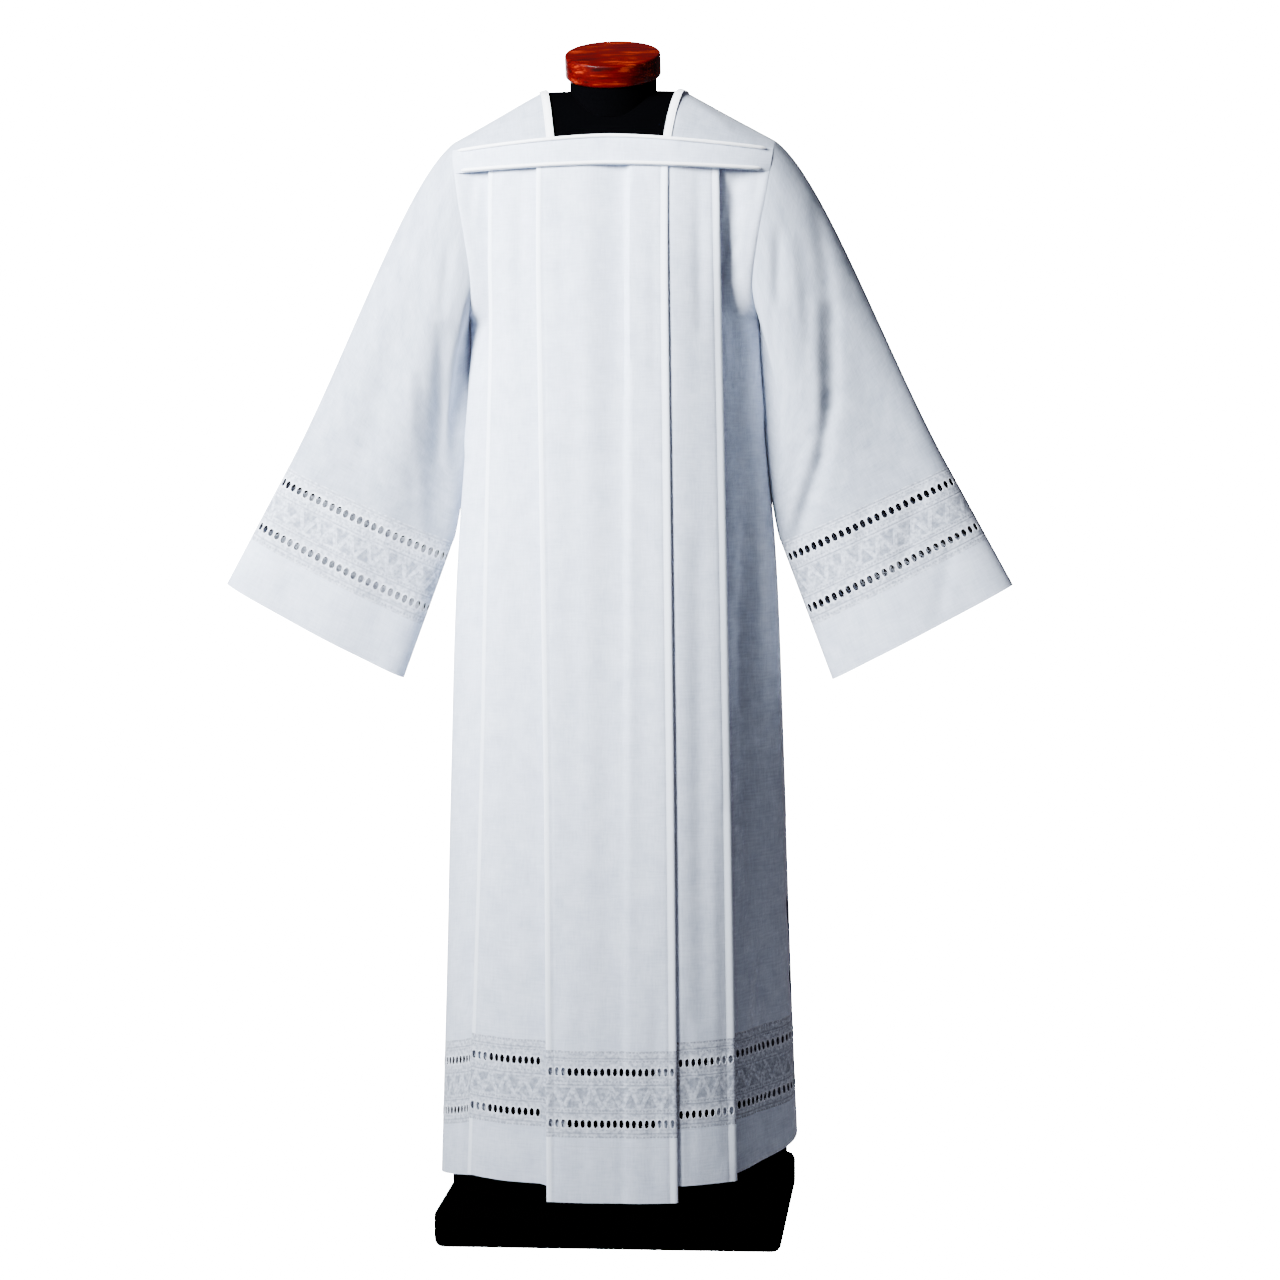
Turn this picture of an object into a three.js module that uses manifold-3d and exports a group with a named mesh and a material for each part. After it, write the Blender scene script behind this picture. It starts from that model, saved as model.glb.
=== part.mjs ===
// An alb with lace insertions, hanging on a limbless dress form.
// Millimetres, +Z up. The front faces -Y, x = 0 is the centre line and z = 0 the floor.
// Left and right are the wearer's: the left sleeve is on +X.
import * as THREE from 'three';
import { mergeVertices } from 'three/addons/utils/BufferGeometryUtils.js';
import Module from 'manifold-3d';

// ---------------------------------------------------------------- cloth
const CLOTH = 1.4; // thickness of every cloth wall
const SEAM = 0.3; // gap between pieces that are sewn edge to edge
const LAP_HEIGHT = 8; // the panels reach this far up behind the band and the yoke
const LAID_ON = 0.5; // gap under a trim that lies on another piece
const FRONT = -1;
const BACK = 1;

// ---------------------------------------------------------------- body shape
// Oval sections below the armpit. Above it each column leans in to the shoulder ridge.
const ARMPIT_Z = 1190;
const SECTION_POWER = 2.4;
const SHOULDER_POWER = 2.5;
const BODY = [
  { z: 60, wide: 238, front: 205, back: 205 },
  { z: 300, wide: 230, front: 186, back: 182 },
  { z: 600, wide: 221, front: 162, back: 156 },
  { z: 900, wide: 210, front: 139, back: 134 },
  { z: 1114, wide: 193, front: 121, back: 116 },
  { z: 1190, wide: 190, front: 116, back: 110 },
  { z: 1240, wide: 198, front: 113, back: 107 },
  { z: 1300, wide: 213, front: 110, back: 104 },
  { z: 1350, wide: 226, front: 107, back: 101 },
  { z: 1419, wide: 239, front: 104, back: 98 },
  { z: 1510, wide: 250, front: 100, back: 94 },
];
const RIDGE_NECK_X = 87; // half width of the neck opening on the shoulder ridge
const RIDGE_NECK_Z = 1485;
const RIDGE_SLOPE = 0.54; // fall of the ridge for each millimetre outwards
const RIDGE_CROWN = 2; // rise of the ridge from there to the centre line

// The armhole, as a share of the body's half width at each height.
const ARMHOLE = [
  { z: 1190, share: 1.0 },
  { z: 1196, share: 0.988 },
  { z: 1204, share: 0.972 },
  { z: 1216, share: 0.95 },
  { z: 1240, share: 0.92 },
  { z: 1300, share: 0.892 },
  { z: 1350, share: 0.88 },
  { z: 1419, share: 0.875 },
];
const SHOULDER_Z = 1419; // where the armhole crosses the ridge

// ---------------------------------------------------------------- yoke and neck
const BAND_BOTTOM = { centre: 1388, fall: 9 }; // lower edge of the front band, and its fall at the ends
const BAND_TOP = { centre: 1427, fall: 18 };
const BAND_HALF = 205;
const NECK_FRONT_X = 70; // half width of the square neck at its front edge
const NECK_BACK_X = 80;
const BACK_SEAM_Z = 1372; // lower edge of the yoke behind
const YOKE_ROWS = [0, 0.25, 0.5, 0.75, 1]; // from the seam to the ridge
const BACK_NECK_ROW = 0.5; // the row that carries the neck's back edge
const YOKE_COLUMNS = 5; // from the neck to the armhole
const NECK_COLUMNS = 4; // across the neck
const BAND_COLUMNS = 24; // cells along the band and its piping
const PIPING = { high: 4, thick: 1.6, edge: 0.5, lower: 192, upper: 198 }; // with its half lengths
const FACING = { wide: 10, thick: 1.2, edge: 0.2 };

// ---------------------------------------------------------------- pleats
// The spacing of folded layers, how much deeper the side panel is tucked behind the second
// tier, the hollow down the middle of the centre pleat, and how far inside the body's shape
// the outermost layer hangs.
const PLEATS = [
  { z: 60, layer: 4.0, tuck: 6, hollow: 2, inside: 0.8 },
  { z: 600, layer: 3.8, tuck: 12, hollow: 4, inside: 1.2 },
  { z: 1190, layer: 3.0, tuck: 8, hollow: 5, inside: 1.6 },
  { z: 1400, layer: 2.4, tuck: 0, hollow: 4, inside: 3.4 },
];
// Half widths of the centre box pleat and of the second tier. The front's pleats lean: they
// stand further to the wearer's right at the yoke, and further to the left at the hem.
const BACK_EDGES = [
  { z: 60, centre: 84.5, tier: 175 },
  { z: 600, centre: 84, tier: 163 },
  { z: 1190, centre: 83.5, tier: 150 },
  { z: 1400, centre: 83, tier: 145 },
];
const FRONT_LEFT_EDGES = [
  { z: 60, centre: 93, tier: 172 },
  { z: 600, centre: 87, tier: 162 },
  { z: 1190, centre: 79, tier: 149 },
  { z: 1400, centre: 77, tier: 143 },
];
const FRONT_RIGHT_EDGES = [
  { z: 60, centre: 76, tier: 195 },
  { z: 600, centre: 81, tier: 176 },
  { z: 1190, centre: 91, tier: 163 },
  { z: 1400, centre: 93, tier: 160 },
];
const UNDERLAY = { centre: 25, tier: 22 }; // cloth folded back under each pleat edge
const SIDE_SEAM = 0.45; // each panel stops this far short of the side seam's plane
const TUCK_HELD = 0.4; // share of the side panel over which it keeps its depth
// Stretches of one half of a panel, from the centre line to the side seam.
const CENTRE = 0;
const CENTRE_RETURN = 1;
const TIER = 2;
const TIER_RETURN = 3;
const SIDE = 4;
const TIER_SHOWN = 0.25; // the share of the second tier that lies under the centre pleat
const SIDE_SHOWN = 0.2; // and of the side panel that lies under the second tier
const HALF_PANEL = [
  { stretch: CENTRE, at: 0 },
  { stretch: CENTRE, at: 0.22 },
  { stretch: CENTRE, at: 0.36 },
  { stretch: CENTRE, at: 0.7 },
  { stretch: CENTRE, at: 1 },
  { stretch: CENTRE_RETURN, at: 0 },
  { stretch: CENTRE_RETURN, at: 1 },
  { stretch: TIER, at: 0 },
  { stretch: TIER, at: TIER_SHOWN },
  { stretch: TIER, at: 0.62 },
  { stretch: TIER, at: 1 },
  { stretch: TIER_RETURN, at: 0 },
  { stretch: TIER_RETURN, at: 1 },
  { stretch: SIDE, at: 0 },
  { stretch: SIDE, at: 0.35 },
  { stretch: SIDE, at: 0.6 },
  { stretch: SIDE, at: 0.82 },
  { stretch: SIDE, at: 1 },
];
const PANEL_ROWS = [1350, 1300, 1250, 1218, 1203, 1195, 1190, 1080, 860, 560];

// ---------------------------------------------------------------- hem and its lace
// Heights at the centre pleat. The lift raises the lace, and the rise raises the hem's edge.
// The hem is drawn up at the left side seam and drops a little at the right one.
const HEM = { edge: 66, laceBottom: 149, laceTop: 260 };
const HEM_STEPS = {
  centre: { lift: 0, rise: 0 },
  tier: { lift: 10, rise: 20 },
  leftSide: { lift: 20, rise: 51 },
  rightSide: { lift: -24, rise: -4 },
};
const EYELET = { pitch: 8.8, wide: 5.6, high: 10 };
const HEM_EYELET_ROWS = [167, 233]; // heights of the two rows at the centre pleat
const PLAIN_CELLS = 6; // a stretch with no more cells than this has no eyelets
// Cells along each stretch, which are eyelets in both rows on a longer one.
const FRONT_EYELETS = {
  left: { centre: 11, tier: 9, side: 14 },
  right: { centre: 9, tier: 12, side: 14 },
};
const BACK_EYELETS = { left: { centre: 10, tier: 2, side: 6 } };

// ---------------------------------------------------------------- sleeves
// The cuff's corners on x and z, and the directions of the outer and inner edges above them.
const CUFF_OUTER = { x: 517, z: 844, dx: -0.4805, dz: 0.877 };
const CUFF_INNER = { x: 283, z: 720, dx: -0.3815, dz: 1.0213 };
const CUFF_DEPTH = 36; // half depth of the flat oval at the cuff
const SLEEVE_DEPTH = 44; // and at the top of the lace
const CUFF_BAND = 69; // plain cloth below the lace
const SLEEVE_LACE = 176; // top of the lace, from the cuff's edge
const SLEEVE_EYELET_ROWS = [90, 156];
const SLEEVE_TURNS = 11; // columns on each face of a sleeve
const SLEEVE_STEPS = [0, 0.04, 0.1, 0.18, 0.3, 0.45, 0.62, 0.81, 1];
const HALF_SEAM_ANGLE = 0.012; // where the two halves of a sleeve's lace stop short of each other
const SLEEVE_EYELETS = 27; // in one row on the front of a sleeve
const SLEEVE_HALF = 115; // half width of the flat oval that spaces the columns
const LEAVE_ARMPIT = { x: 140, z: -440 }; // how the sleeve leaves the armhole, below and on top
const LEAVE_SHOULDER = { x: 185, z: -130 };
const LEAVE_DEPTH = 40; // and how far it swells to the front and back as it leaves
const REACH_LACE = { outer: 500, inner: 225 };
const STRAIGHT_SHARE = 0.12; // the share of a face over which its straight inner edge bends free
// Soft lengthwise folds of a sleeve's face: place across it, half width and depth. They keep
// a share of their depth half way down the sleeve and on its cuff.
const SLEEVE_FOLDS = [
  { at: 0.3, width: 0.1, depth: 9 },
  { at: 0.62, width: 0.12, depth: 7 },
];
const FOLD_KEPT = { sleeve: 0.6, cuff: 0.5 };

// ---------------------------------------------------------------- dress form
const FORM_CLEAR = 0.35; // clearance under the yoke, which rests on the form
const FORM_ROWS = [
  { z: 830, wide: 148, front: 92, back: 90 },
  { z: 920, wide: 148, front: 92, back: 88 },
  { z: 1020, wide: 142, front: 84, back: 78 },
  { z: 1120, wide: 148, front: 86, back: 76 },
  { z: 1220, wide: 156, front: 86, back: 78 },
  { z: 1310, wide: 164, front: 80, back: 74 },
  { z: 1372, wide: 174, front: 72, back: 66 },
];
const FORM_TURN = 1.4; // how far round its oval sections each face of the torso reaches
const NECK = { radius: 56, y: -6, bottom: 1450, top: 1504 };
const CAP = { radius: 62, thick: 30, edge: 3 };
const NECK_TILT = 0.32; // radians that the neck's top and its cap lean forwards
const POLE = { radius: 16 };
// The base is a flat block with a round-ended riser on it, inside the hem.
const BASE = { wide: 224, deep: 190, top: 52, round: 12, power: 14 };
const RISER = { wide: 222, deep: 130, top: 150, edge: 4, power: SECTION_POWER };

// ---------------------------------------------------------------- helpers
const mix = (a, b, t) => a + (b - a) * t;
const clamp01 = (t) => Math.min(1, Math.max(0, t));
const smooth = (t) => clamp01(t) ** 2 * (3 - 2 * clamp01(t));

// The value of a table's column at a height, on a smooth curve through its rows.
function tableAt(table, column, z) {
  const last = table.length - 1;
  if (z <= table[0].z) return table[0][column];
  if (z >= table[last].z) return table[last][column];
  let i = 0;
  while (table[i + 1].z < z) i += 1;
  const slope = (j) => {
    const low = table[Math.max(0, j - 1)];
    const high = table[Math.min(last, j + 1)];
    return (high[column] - low[column]) / (high.z - low.z);
  };
  const span = table[i + 1].z - table[i].z;
  const t = (z - table[i].z) / span;
  const rise = t * t * (3 - 2 * t);
  return mix(table[i][column], table[i + 1][column], rise)
    + span * t * (1 - t) * ((1 - t) * slope(i) - t * slope(i + 1));
}

// A cubic curve from one point to another, leaving and arriving along given directions.
function glide(from, to, leave, reach, s) {
  const rise = s * s * (3 - 2 * s);
  return from.clone().lerp(to, rise)
    .addScaledVector(leave, s * (1 - s) * (1 - s))
    .addScaledVector(reach, -s * s * (1 - s));
}

// A sheet is a list of points and of faces. A grid of rows and columns makes one.
// A symmetric grid has its diagonals mirrored across the middle column.
function gridSheet(rows, columns, pointAt, { closed = false, keep = () => true } = {}) {
  const points = [];
  const faces = [];
  for (let r = 0; r < rows; r += 1) {
    for (let c = 0; c < columns; c += 1) points.push(pointAt(r, c));
  }
  const cells = closed ? columns : columns - 1;
  for (let r = 0; r + 1 < rows; r += 1) {
    for (let c = 0; c < cells; c += 1) {
      if (!keep(r, c)) continue;
      const next = (c + 1) % columns;
      const low = r * columns;
      const high = low + columns;
      if (!closed && 2 * c + 1 < cells) {
        faces.push([low + c, low + next, high + c], [low + next, high + next, high + c]);
      } else {
        faces.push([low + c, low + next, high + next], [low + c, high + next, high + c]);
      }
    }
  }
  return { points, faces };
}

// Unit normals at a sheet's points, lengthened at folds so that the wall keeps its thickness.
function sheetNormals({ points, faces }) {
  const sums = points.map(() => new THREE.Vector3());
  const around = points.map(() => []);
  for (const [a, b, c] of faces) {
    const normal = points[b].clone().sub(points[a]).cross(points[c].clone().sub(points[a]));
    const unit = normal.clone().normalize();
    for (const corner of [a, b, c]) {
      sums[corner].add(unit);
      around[corner].push(unit);
    }
  }
  return sums.map((sum, i) => {
    sum.normalize();
    const lean = Math.min(1, ...around[i].map((unit) => unit.dot(sum)));
    return sum.multiplyScalar(1 / Math.max(0.7, lean));
  });
}

// A closed wall: the sheet's points moved both ways, joined along every free edge.
function wall(sheet, thickness = CLOTH, { normals = sheetNormals(sheet), lift = 0 } = {}) {
  const count = sheet.points.length;
  const moved = (i, by) => sheet.points[i].clone().addScaledVector(normals[i], by);
  const outer = sheet.points.map((_, i) => moved(i, lift + thickness / 2));
  const inner = sheet.points.map((_, i) => moved(i, lift - thickness / 2));
  const faces = [];
  const edges = new Map();
  for (const [a, b, c] of sheet.faces) {
    faces.push([a, b, c], [count + a, count + c, count + b]);
    for (const [from, to] of [[a, b], [b, c], [c, a]]) {
      if (!edges.delete(`${to} ${from}`)) edges.set(`${from} ${to}`, [from, to]);
    }
  }
  for (const [from, to] of edges.values()) {
    faces.push([from, count + from, count + to], [from, count + to, to]);
  }
  return solid([...outer, ...inner], faces);
}

// A geometry from points and faces, with the points that no face uses left out.
function solid(points, faces) {
  const used = new Map();
  const positions = [];
  const index = faces.flat().map((i) => {
    if (!used.has(i)) {
      used.set(i, used.size);
      positions.push(points[i].x, points[i].y, points[i].z);
    }
    return used.get(i);
  });
  const geometry = new THREE.BufferGeometry();
  geometry.setAttribute('position', new THREE.Float32BufferAttribute(positions, 3));
  geometry.setIndex(index);
  return outwards(geometry);
}

// Turns a closed geometry's faces outwards.
function outwards(geometry) {
  const position = geometry.getAttribute('position');
  const index = geometry.getIndex();
  const corner = [new THREE.Vector3(), new THREE.Vector3(), new THREE.Vector3()];
  let volume = 0;
  for (let i = 0; i < index.count; i += 3) {
    corner.forEach((point, k) => point.fromBufferAttribute(position, index.getX(i + k)));
    volume += corner[0].dot(corner[1].clone().cross(corner[2]));
  }
  if (volume < 0) {
    for (let i = 0; i < index.count; i += 3) {
      const swapped = index.getX(i + 1);
      index.setX(i + 1, index.getX(i + 2));
      index.setX(i + 2, swapped);
    }
  }
  return geometry;
}

// The mirror image of a geometry across the centre plane.
function mirrored(geometry) {
  const copy = geometry.clone();
  copy.scale(-1, 1, 1);
  return outwards(copy);
}

// ---------------------------------------------------------------- body surface
function ridgeZ(x) {
  const out = Math.abs(x) - RIDGE_NECK_X;
  if (out > 0) return RIDGE_NECK_Z - RIDGE_SLOPE * out;
  return RIDGE_NECK_Z + RIDGE_CROWN * (1 - (x / RIDGE_NECK_X) ** 2);
}

const bodyWide = (z) => tableAt(BODY, 'wide', z);
const bodyDeep = (z, face) => tableAt(BODY, face === FRONT ? 'front' : 'back', z);
const armX = (z) => bodyWide(z) * tableAt(ARMHOLE, 'share', z);

// How much of the body's depth is left at x, where its oval section narrows to the side.
const acrossShare = (x, z) => (
  (1 - Math.min(1, Math.abs(x) / bodyWide(z)) ** SECTION_POWER) ** (1 / SECTION_POWER)
);

// How much of it is left at a height above the armpit, on the way to the ridge.
function leanShare(x, z) {
  const up = clamp01((z - ARMPIT_Z) / (ridgeZ(x) - ARMPIT_Z));
  return (1 - up ** SHOULDER_POWER) ** (1 / SHOULDER_POWER);
}

const bodyY = (x, z, face) => face * bodyDeep(z, face) * acrossShare(x, z) * leanShare(x, z);

// A section's point and its horizontal outward direction, at a turn of 0 in the middle of a
// face to 1 at the side.
function sectionPoint(turn, z, face, half) {
  const at = (t) => {
    const x = bodyWide(z) * Math.sin(t * Math.PI / 2) ** (2 / SECTION_POWER);
    return new THREE.Vector3(half * x, bodyY(x, z, face), z);
  };
  const step = 0.004;
  const along = at(Math.min(1, turn + step)).sub(at(Math.max(0, turn - step)));
  const out = new THREE.Vector3(-along.y * half * face, along.x * half * face, 0);
  return { point: at(turn), out: turn > 0.999 ? new THREE.Vector3(half, 0, 0) : out.normalize() };
}

const turnOf = (x, z) => (
  Math.asin(Math.min(1, x / bodyWide(z)) ** (SECTION_POWER / 2)) / (Math.PI / 2)
);

// ---------------------------------------------------------------- pleated panels
// A column of a panel, part way between two columns of the same stretch.
function columnAt(columns, k) {
  const low = columns[Math.floor(k)];
  const high = columns[Math.ceil(k)];
  return { ...low, at: mix(low.at, high.at, k - Math.floor(k)) };
}

function pleatEdges(half, face) {
  if (face === BACK) return BACK_EDGES;
  return half > 0 ? FRONT_LEFT_EDGES : FRONT_RIGHT_EDGES;
}

function pleatPoint({ half, stretch, at }, z, face) {
  const row = (column) => tableAt(PLEATS, column, z);
  const centre = tableAt(pleatEdges(half, face), 'centre', z);
  const tier = tableAt(pleatEdges(half, face), 'tier', z);
  const edge = z > ARMPIT_Z ? armX(z) : bodyWide(z);
  const startTurn = turnOf(tier - UNDERLAY.tier, z);
  const x = {
    [CENTRE]: centre * at,
    [CENTRE_RETURN]: centre - UNDERLAY.centre * at,
    [TIER]: mix(centre - UNDERLAY.centre, tier, at),
    [TIER_RETURN]: tier - UNDERLAY.tier * at,
    [SIDE]: 0,
  }[stretch];
  const turn = stretch === SIDE ? mix(startTurn, turnOf(edge, z), at) : turnOf(x, z);
  const { point, out } = sectionPoint(turn, z, face, half);
  const held = stretch === SIDE ? 1 - smooth((at - TUCK_HELD) / (1 - TUCK_HELD)) : 1;
  const tuck = stretch === SIDE ? row('tuck') : 0;
  const hollow = stretch === CENTRE ? row('hollow') * (1 - smooth((at - 0.2) / 0.18)) : 0;
  const depth = row('inside') + (stretch * row('layer') + tuck) * held + hollow;
  point.addScaledVector(out, -depth);
  if (stretch === SIDE) point.y += face * SIDE_SEAM * at;
  return point;
}

// A full panel's columns, from the right side seam across the middle to the left one.
function panelColumns(leftColumns, rightColumns = leftColumns) {
  const right = rightColumns.slice(1).reverse().map((column) => ({ ...column, half: -1 }));
  return [...right, ...leftColumns.map((column) => ({ ...column, half: 1 }))];
}

// How far a column's lace is lifted or its hem raised: level on the pleats, sloping at the side.
function hemStep(key, { half, stretch, at }) {
  const { centre, tier, leftSide, rightSide } = HEM_STEPS;
  const side = half > 0 ? leftSide : rightSide;
  if (stretch === CENTRE) return centre[key];
  if (stretch === CENTRE_RETURN) return mix(centre[key], tier[key], at / 2);
  if (stretch === TIER) return mix(centre[key], tier[key], clamp01(0.5 + 0.5 * at / TIER_SHOWN));
  if (stretch === TIER_RETURN) return tier[key];
  return mix(tier[key], side[key], at);
}

const bandZ = (edge, x) => edge.centre - edge.fall * clamp01(Math.abs(x) / BAND_HALF) ** 1.5;

function panelTopZ(column, face) {
  const x = pleatPoint(column, face === FRONT ? BAND_BOTTOM.centre : BACK_SEAM_Z, face).x;
  return LAP_HEIGHT + (face === FRONT ? bandZ(BAND_BOTTOM, x) : BACK_SEAM_Z);
}

function panel(face) {
  const columns = panelColumns(HALF_PANEL);
  const rows = [null, ...PANEL_ROWS, HEM.laceTop + SEAM];
  const sheet = gridSheet(rows.length, columns.length, (r, c) => {
    const column = columns[c];
    if (r === 0) return pleatPoint(column, panelTopZ(column, face), face);
    const lift = r === rows.length - 1 ? hemStep('lift', column) : 0;
    return pleatPoint(column, rows[r] + lift, face);
  });
  return wall(sheet);
}

function hemBand(face) {
  const columns = panelColumns(HALF_PANEL);
  const sheet = gridSheet(2, columns.length, (r, c) => {
    const column = columns[c];
    const top = HEM.laceBottom - SEAM + hemStep('lift', column);
    return pleatPoint(column, r === 0 ? top : HEM.edge + hemStep('rise', column), face);
  });
  return wall(sheet);
}

// ---------------------------------------------------------------- lace with eyelets
// A strip two cells high. A cut cell has a four-cornered eyelet in its middle.
function laceSheet(columns, pointAt, isCut, eyeletRows, halfHigh) {
  const halfWide = EYELET.wide / EYELET.pitch / 2;
  const middle = (eyeletRows[0] + eyeletRows[1]) / 2;
  const lines = [0, middle, 1];
  const points = [];
  const faces = [];
  for (const v of lines) {
    for (let c = 0; c < columns; c += 1) points.push(pointAt(c, v));
  }
  for (let row = 0; row < 2; row += 1) {
    for (let c = 0; c + 1 < columns; c += 1) {
      const corners = [row * columns + c, row * columns + c + 1];
      corners.push(corners[1] + columns, corners[0] + columns);
      if (!isCut(c)) {
        faces.push([corners[0], corners[1], corners[2]], [corners[0], corners[2], corners[3]]);
        continue;
      }
      const v = eyeletRows[row];
      const tips = [
        pointAt(c + 0.5, v - halfHigh),
        pointAt(c + 0.5 + halfWide, v),
        pointAt(c + 0.5, v + halfHigh),
        pointAt(c + 0.5 - halfWide, v),
      ];
      const first = points.push(...tips) - tips.length;
      for (let k = 0; k < 4; k += 1) {
        const next = (k + 1) % 4;
        faces.push([corners[k], corners[next], first + k]);
        faces.push([corners[next], first + next, first + k]);
      }
    }
  }
  return { points, faces };
}

// Columns of a half hem: the pleats' folds, with one column for each eyelet between them.
function laceColumns(eyelets) {
  const visible = {
    [CENTRE]: { from: 0, count: eyelets.centre },
    [TIER]: { from: TIER_SHOWN, count: eyelets.tier },
    [SIDE]: { from: SIDE_SHOWN, count: eyelets.side },
  };
  const columns = [];
  for (let stretch = CENTRE; stretch <= SIDE; stretch += 1) {
    const { from, count } = visible[stretch] ?? { from: 0, count: 1 };
    if (from > 0) columns.push({ stretch, at: 0, cut: false });
    for (let k = 0; k <= count; k += 1) {
      columns.push({ stretch, at: mix(from, 1, k / count), cut: count > PLAIN_CELLS && k < count });
    }
  }
  return columns;
}

// A cell belongs to whichever of its columns lies nearer the centre line.
function hemLace(face, { left, right = left }) {
  const columns = panelColumns(laceColumns(left), laceColumns(right));
  const isCut = (c) => (columns[c].half < 0 ? columns[c + 1] : columns[c]).cut;
  const height = HEM.laceTop - HEM.laceBottom;
  const pointAt = (c, v) => {
    const column = columnAt(columns, c);
    return pleatPoint(column, mix(HEM.laceBottom, HEM.laceTop, v) + hemStep('lift', column), face);
  };
  const rows = HEM_EYELET_ROWS.map((z) => (z - HEM.laceBottom) / height);
  return wall(laceSheet(columns.length, pointAt, isCut, rows, EYELET.high / 2 / height));
}

// ---------------------------------------------------------------- yoke, band, piping, facing
// A point of the mantle, turned from the armpit's height (0) up to the ridge (a right angle).
function mantlePoint(x, turn, face) {
  const z = mix(ARMPIT_Z, ridgeZ(x), Math.sin(turn) ** (2 / SHOULDER_POWER));
  const depth = bodyDeep(z, face) * acrossShare(x, z);
  return new THREE.Vector3(x, face * depth * Math.cos(turn) ** (2 / SHOULDER_POWER), z);
}

const mantleTurn = (x, z) => (
  Math.asin(clamp01((z - ARMPIT_Z) / (ridgeZ(x) - ARMPIT_Z)) ** (SHOULDER_POWER / 2))
);

// The yoke's rows run from its seam (0) to the ridge (1) on each face.
function yokeTurn(x, row, face) {
  const seamZ = face === FRONT ? bandZ(BAND_TOP, x) + SEAM : BACK_SEAM_Z;
  return mix(mantleTurn(x, seamZ), Math.PI / 2, row);
}

function neckX(row, face) {
  return face === FRONT ? mix(NECK_FRONT_X, RIDGE_NECK_X, row) : mix(NECK_BACK_X, RIDGE_NECK_X, row);
}

// Where a row of the yoke meets the armhole, found by closing in on it.
function yokeEndX(row, face) {
  let x = BAND_HALF;
  for (let i = 0; i < 12; i += 1) x = armX(mantlePoint(x, yokeTurn(x, row, face), face).z);
  return x;
}

// Columns count outwards from the centre line, and beyond NECK_COLUMNS / 2 from the neck.
function yokeX(column, row, face) {
  const inner = NECK_COLUMNS / 2;
  const neck = neckX(row, face);
  const out = Math.abs(column);
  const x = out <= inner
    ? neck * (out / inner)
    : mix(neck, yokeEndX(row, face), (out - inner) / YOKE_COLUMNS);
  return Math.sign(column) * x;
}

const YOKE_PATH = [
  ...YOKE_ROWS.map((row) => ({ row, face: FRONT })),
  ...YOKE_ROWS.slice(0, -1).reverse().map((row) => ({ row, face: BACK })),
];
const YOKE_HALF = NECK_COLUMNS / 2 + YOKE_COLUMNS;

function yokePoint(path, column) {
  const { row, face } = YOKE_PATH[path];
  const x = yokeX(column, row, face);
  return mantlePoint(x, yokeTurn(x, row, face), face);
}

function yokeSheet(keep) {
  return gridSheet(YOKE_PATH.length, 2 * YOKE_HALF + 1, (r, c) => yokePoint(r, c - YOKE_HALF), { keep });
}

// The neck's cells are open from the front seam to the back edge.
function yoke() {
  const backEdge = YOKE_PATH.findIndex(({ row, face }) => face === BACK && row === BACK_NECK_ROW);
  const inNeck = (c) => Math.abs(c + 0.5 - YOKE_HALF) < NECK_COLUMNS / 2;
  const normals = sheetNormals(yokeSheet());
  return wall(yokeSheet((r, c) => r >= backEdge || !inNeck(c)), CLOTH, { normals });
}

function frontBand() {
  const sheet = gridSheet(3, BAND_COLUMNS + 1, (r, c) => {
    const share = 2 * c / BAND_COLUMNS - 1;
    const end = armX(mix(BAND_BOTTOM.centre - BAND_BOTTOM.fall, BAND_TOP.centre - BAND_TOP.fall, r / 2));
    const x = share * (end - SEAM);
    const z = mix(bandZ(BAND_BOTTOM, x), bandZ(BAND_TOP, x), r / 2);
    return mantlePoint(x, mantleTurn(x, z), FRONT);
  });
  return wall(sheet);
}

// A cord of piping laid on the band along one of its edges.
function piping(edge, up, half) {
  const low = (x) => bandZ(edge, x) + Math.min(0, up) * PIPING.high + up * PIPING.edge;
  const sheet = gridSheet(2, BAND_COLUMNS + 1, (r, c) => {
    const x = half * (2 * c / BAND_COLUMNS - 1);
    return mantlePoint(x, mantleTurn(x, low(x) + r * PIPING.high), FRONT);
  });
  return wall(sheet, PIPING.thick, { lift: (CLOTH + PIPING.thick) / 2 + LAID_ON });
}

// A strip laid on the yoke beside the neck, from the front seam over the ridge to the back edge.
function neckFacing() {
  const stops = YOKE_PATH.slice(0, YOKE_PATH.findIndex(
    ({ row, face }) => face === BACK && row === BACK_NECK_ROW,
  ) + 1);
  const sheet = gridSheet(stops.length, 2, (r, c) => {
    const { row, face } = stops[r];
    const x = neckX(row, face) + FACING.edge + c * FACING.wide;
    return mantlePoint(x, yokeTurn(x, row, face), face);
  });
  return wall(sheet, FACING.thick, { lift: (CLOTH + FACING.thick) / 2 + LAID_ON });
}

// ---------------------------------------------------------------- sleeves
// Angles that part half of an oval into pieces of equal length, from its inner to its outer end.
function evenAngles(count, wide, deep) {
  const fine = 400;
  const length = [0];
  for (let i = 1; i <= fine; i += 1) {
    const middle = Math.PI * (i - 0.5) / fine;
    length.push(length[i - 1] + Math.hypot(wide * Math.sin(middle), deep * Math.cos(middle)));
  }
  const angles = [];
  for (let k = 0, i = 0; k <= count; k += 1) {
    while (i < fine && length[i] < length[fine] * k / count) i += 1;
    angles.push(Math.PI * i / fine);
  }
  return angles;
}

// A ring of the sleeve's lower part, at a distance up from the cuff's edge.
function cuffPoint(angle, up, face) {
  const edge = ({ x, z, dx, dz }) => new THREE.Vector3(x + dx * up, 0, z + dz * up);
  const outer = edge(CUFF_OUTER);
  const inner = edge(CUFF_INNER);
  const deep = mix(CUFF_DEPTH, SLEEVE_DEPTH, up / SLEEVE_LACE);
  const point = inner.lerp(outer, (1 - Math.cos(angle)) / 2);
  point.y = face * deep * Math.sin(angle) - face * foldDepth(angle / Math.PI) * FOLD_KEPT.cuff;
  return point;
}

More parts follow.
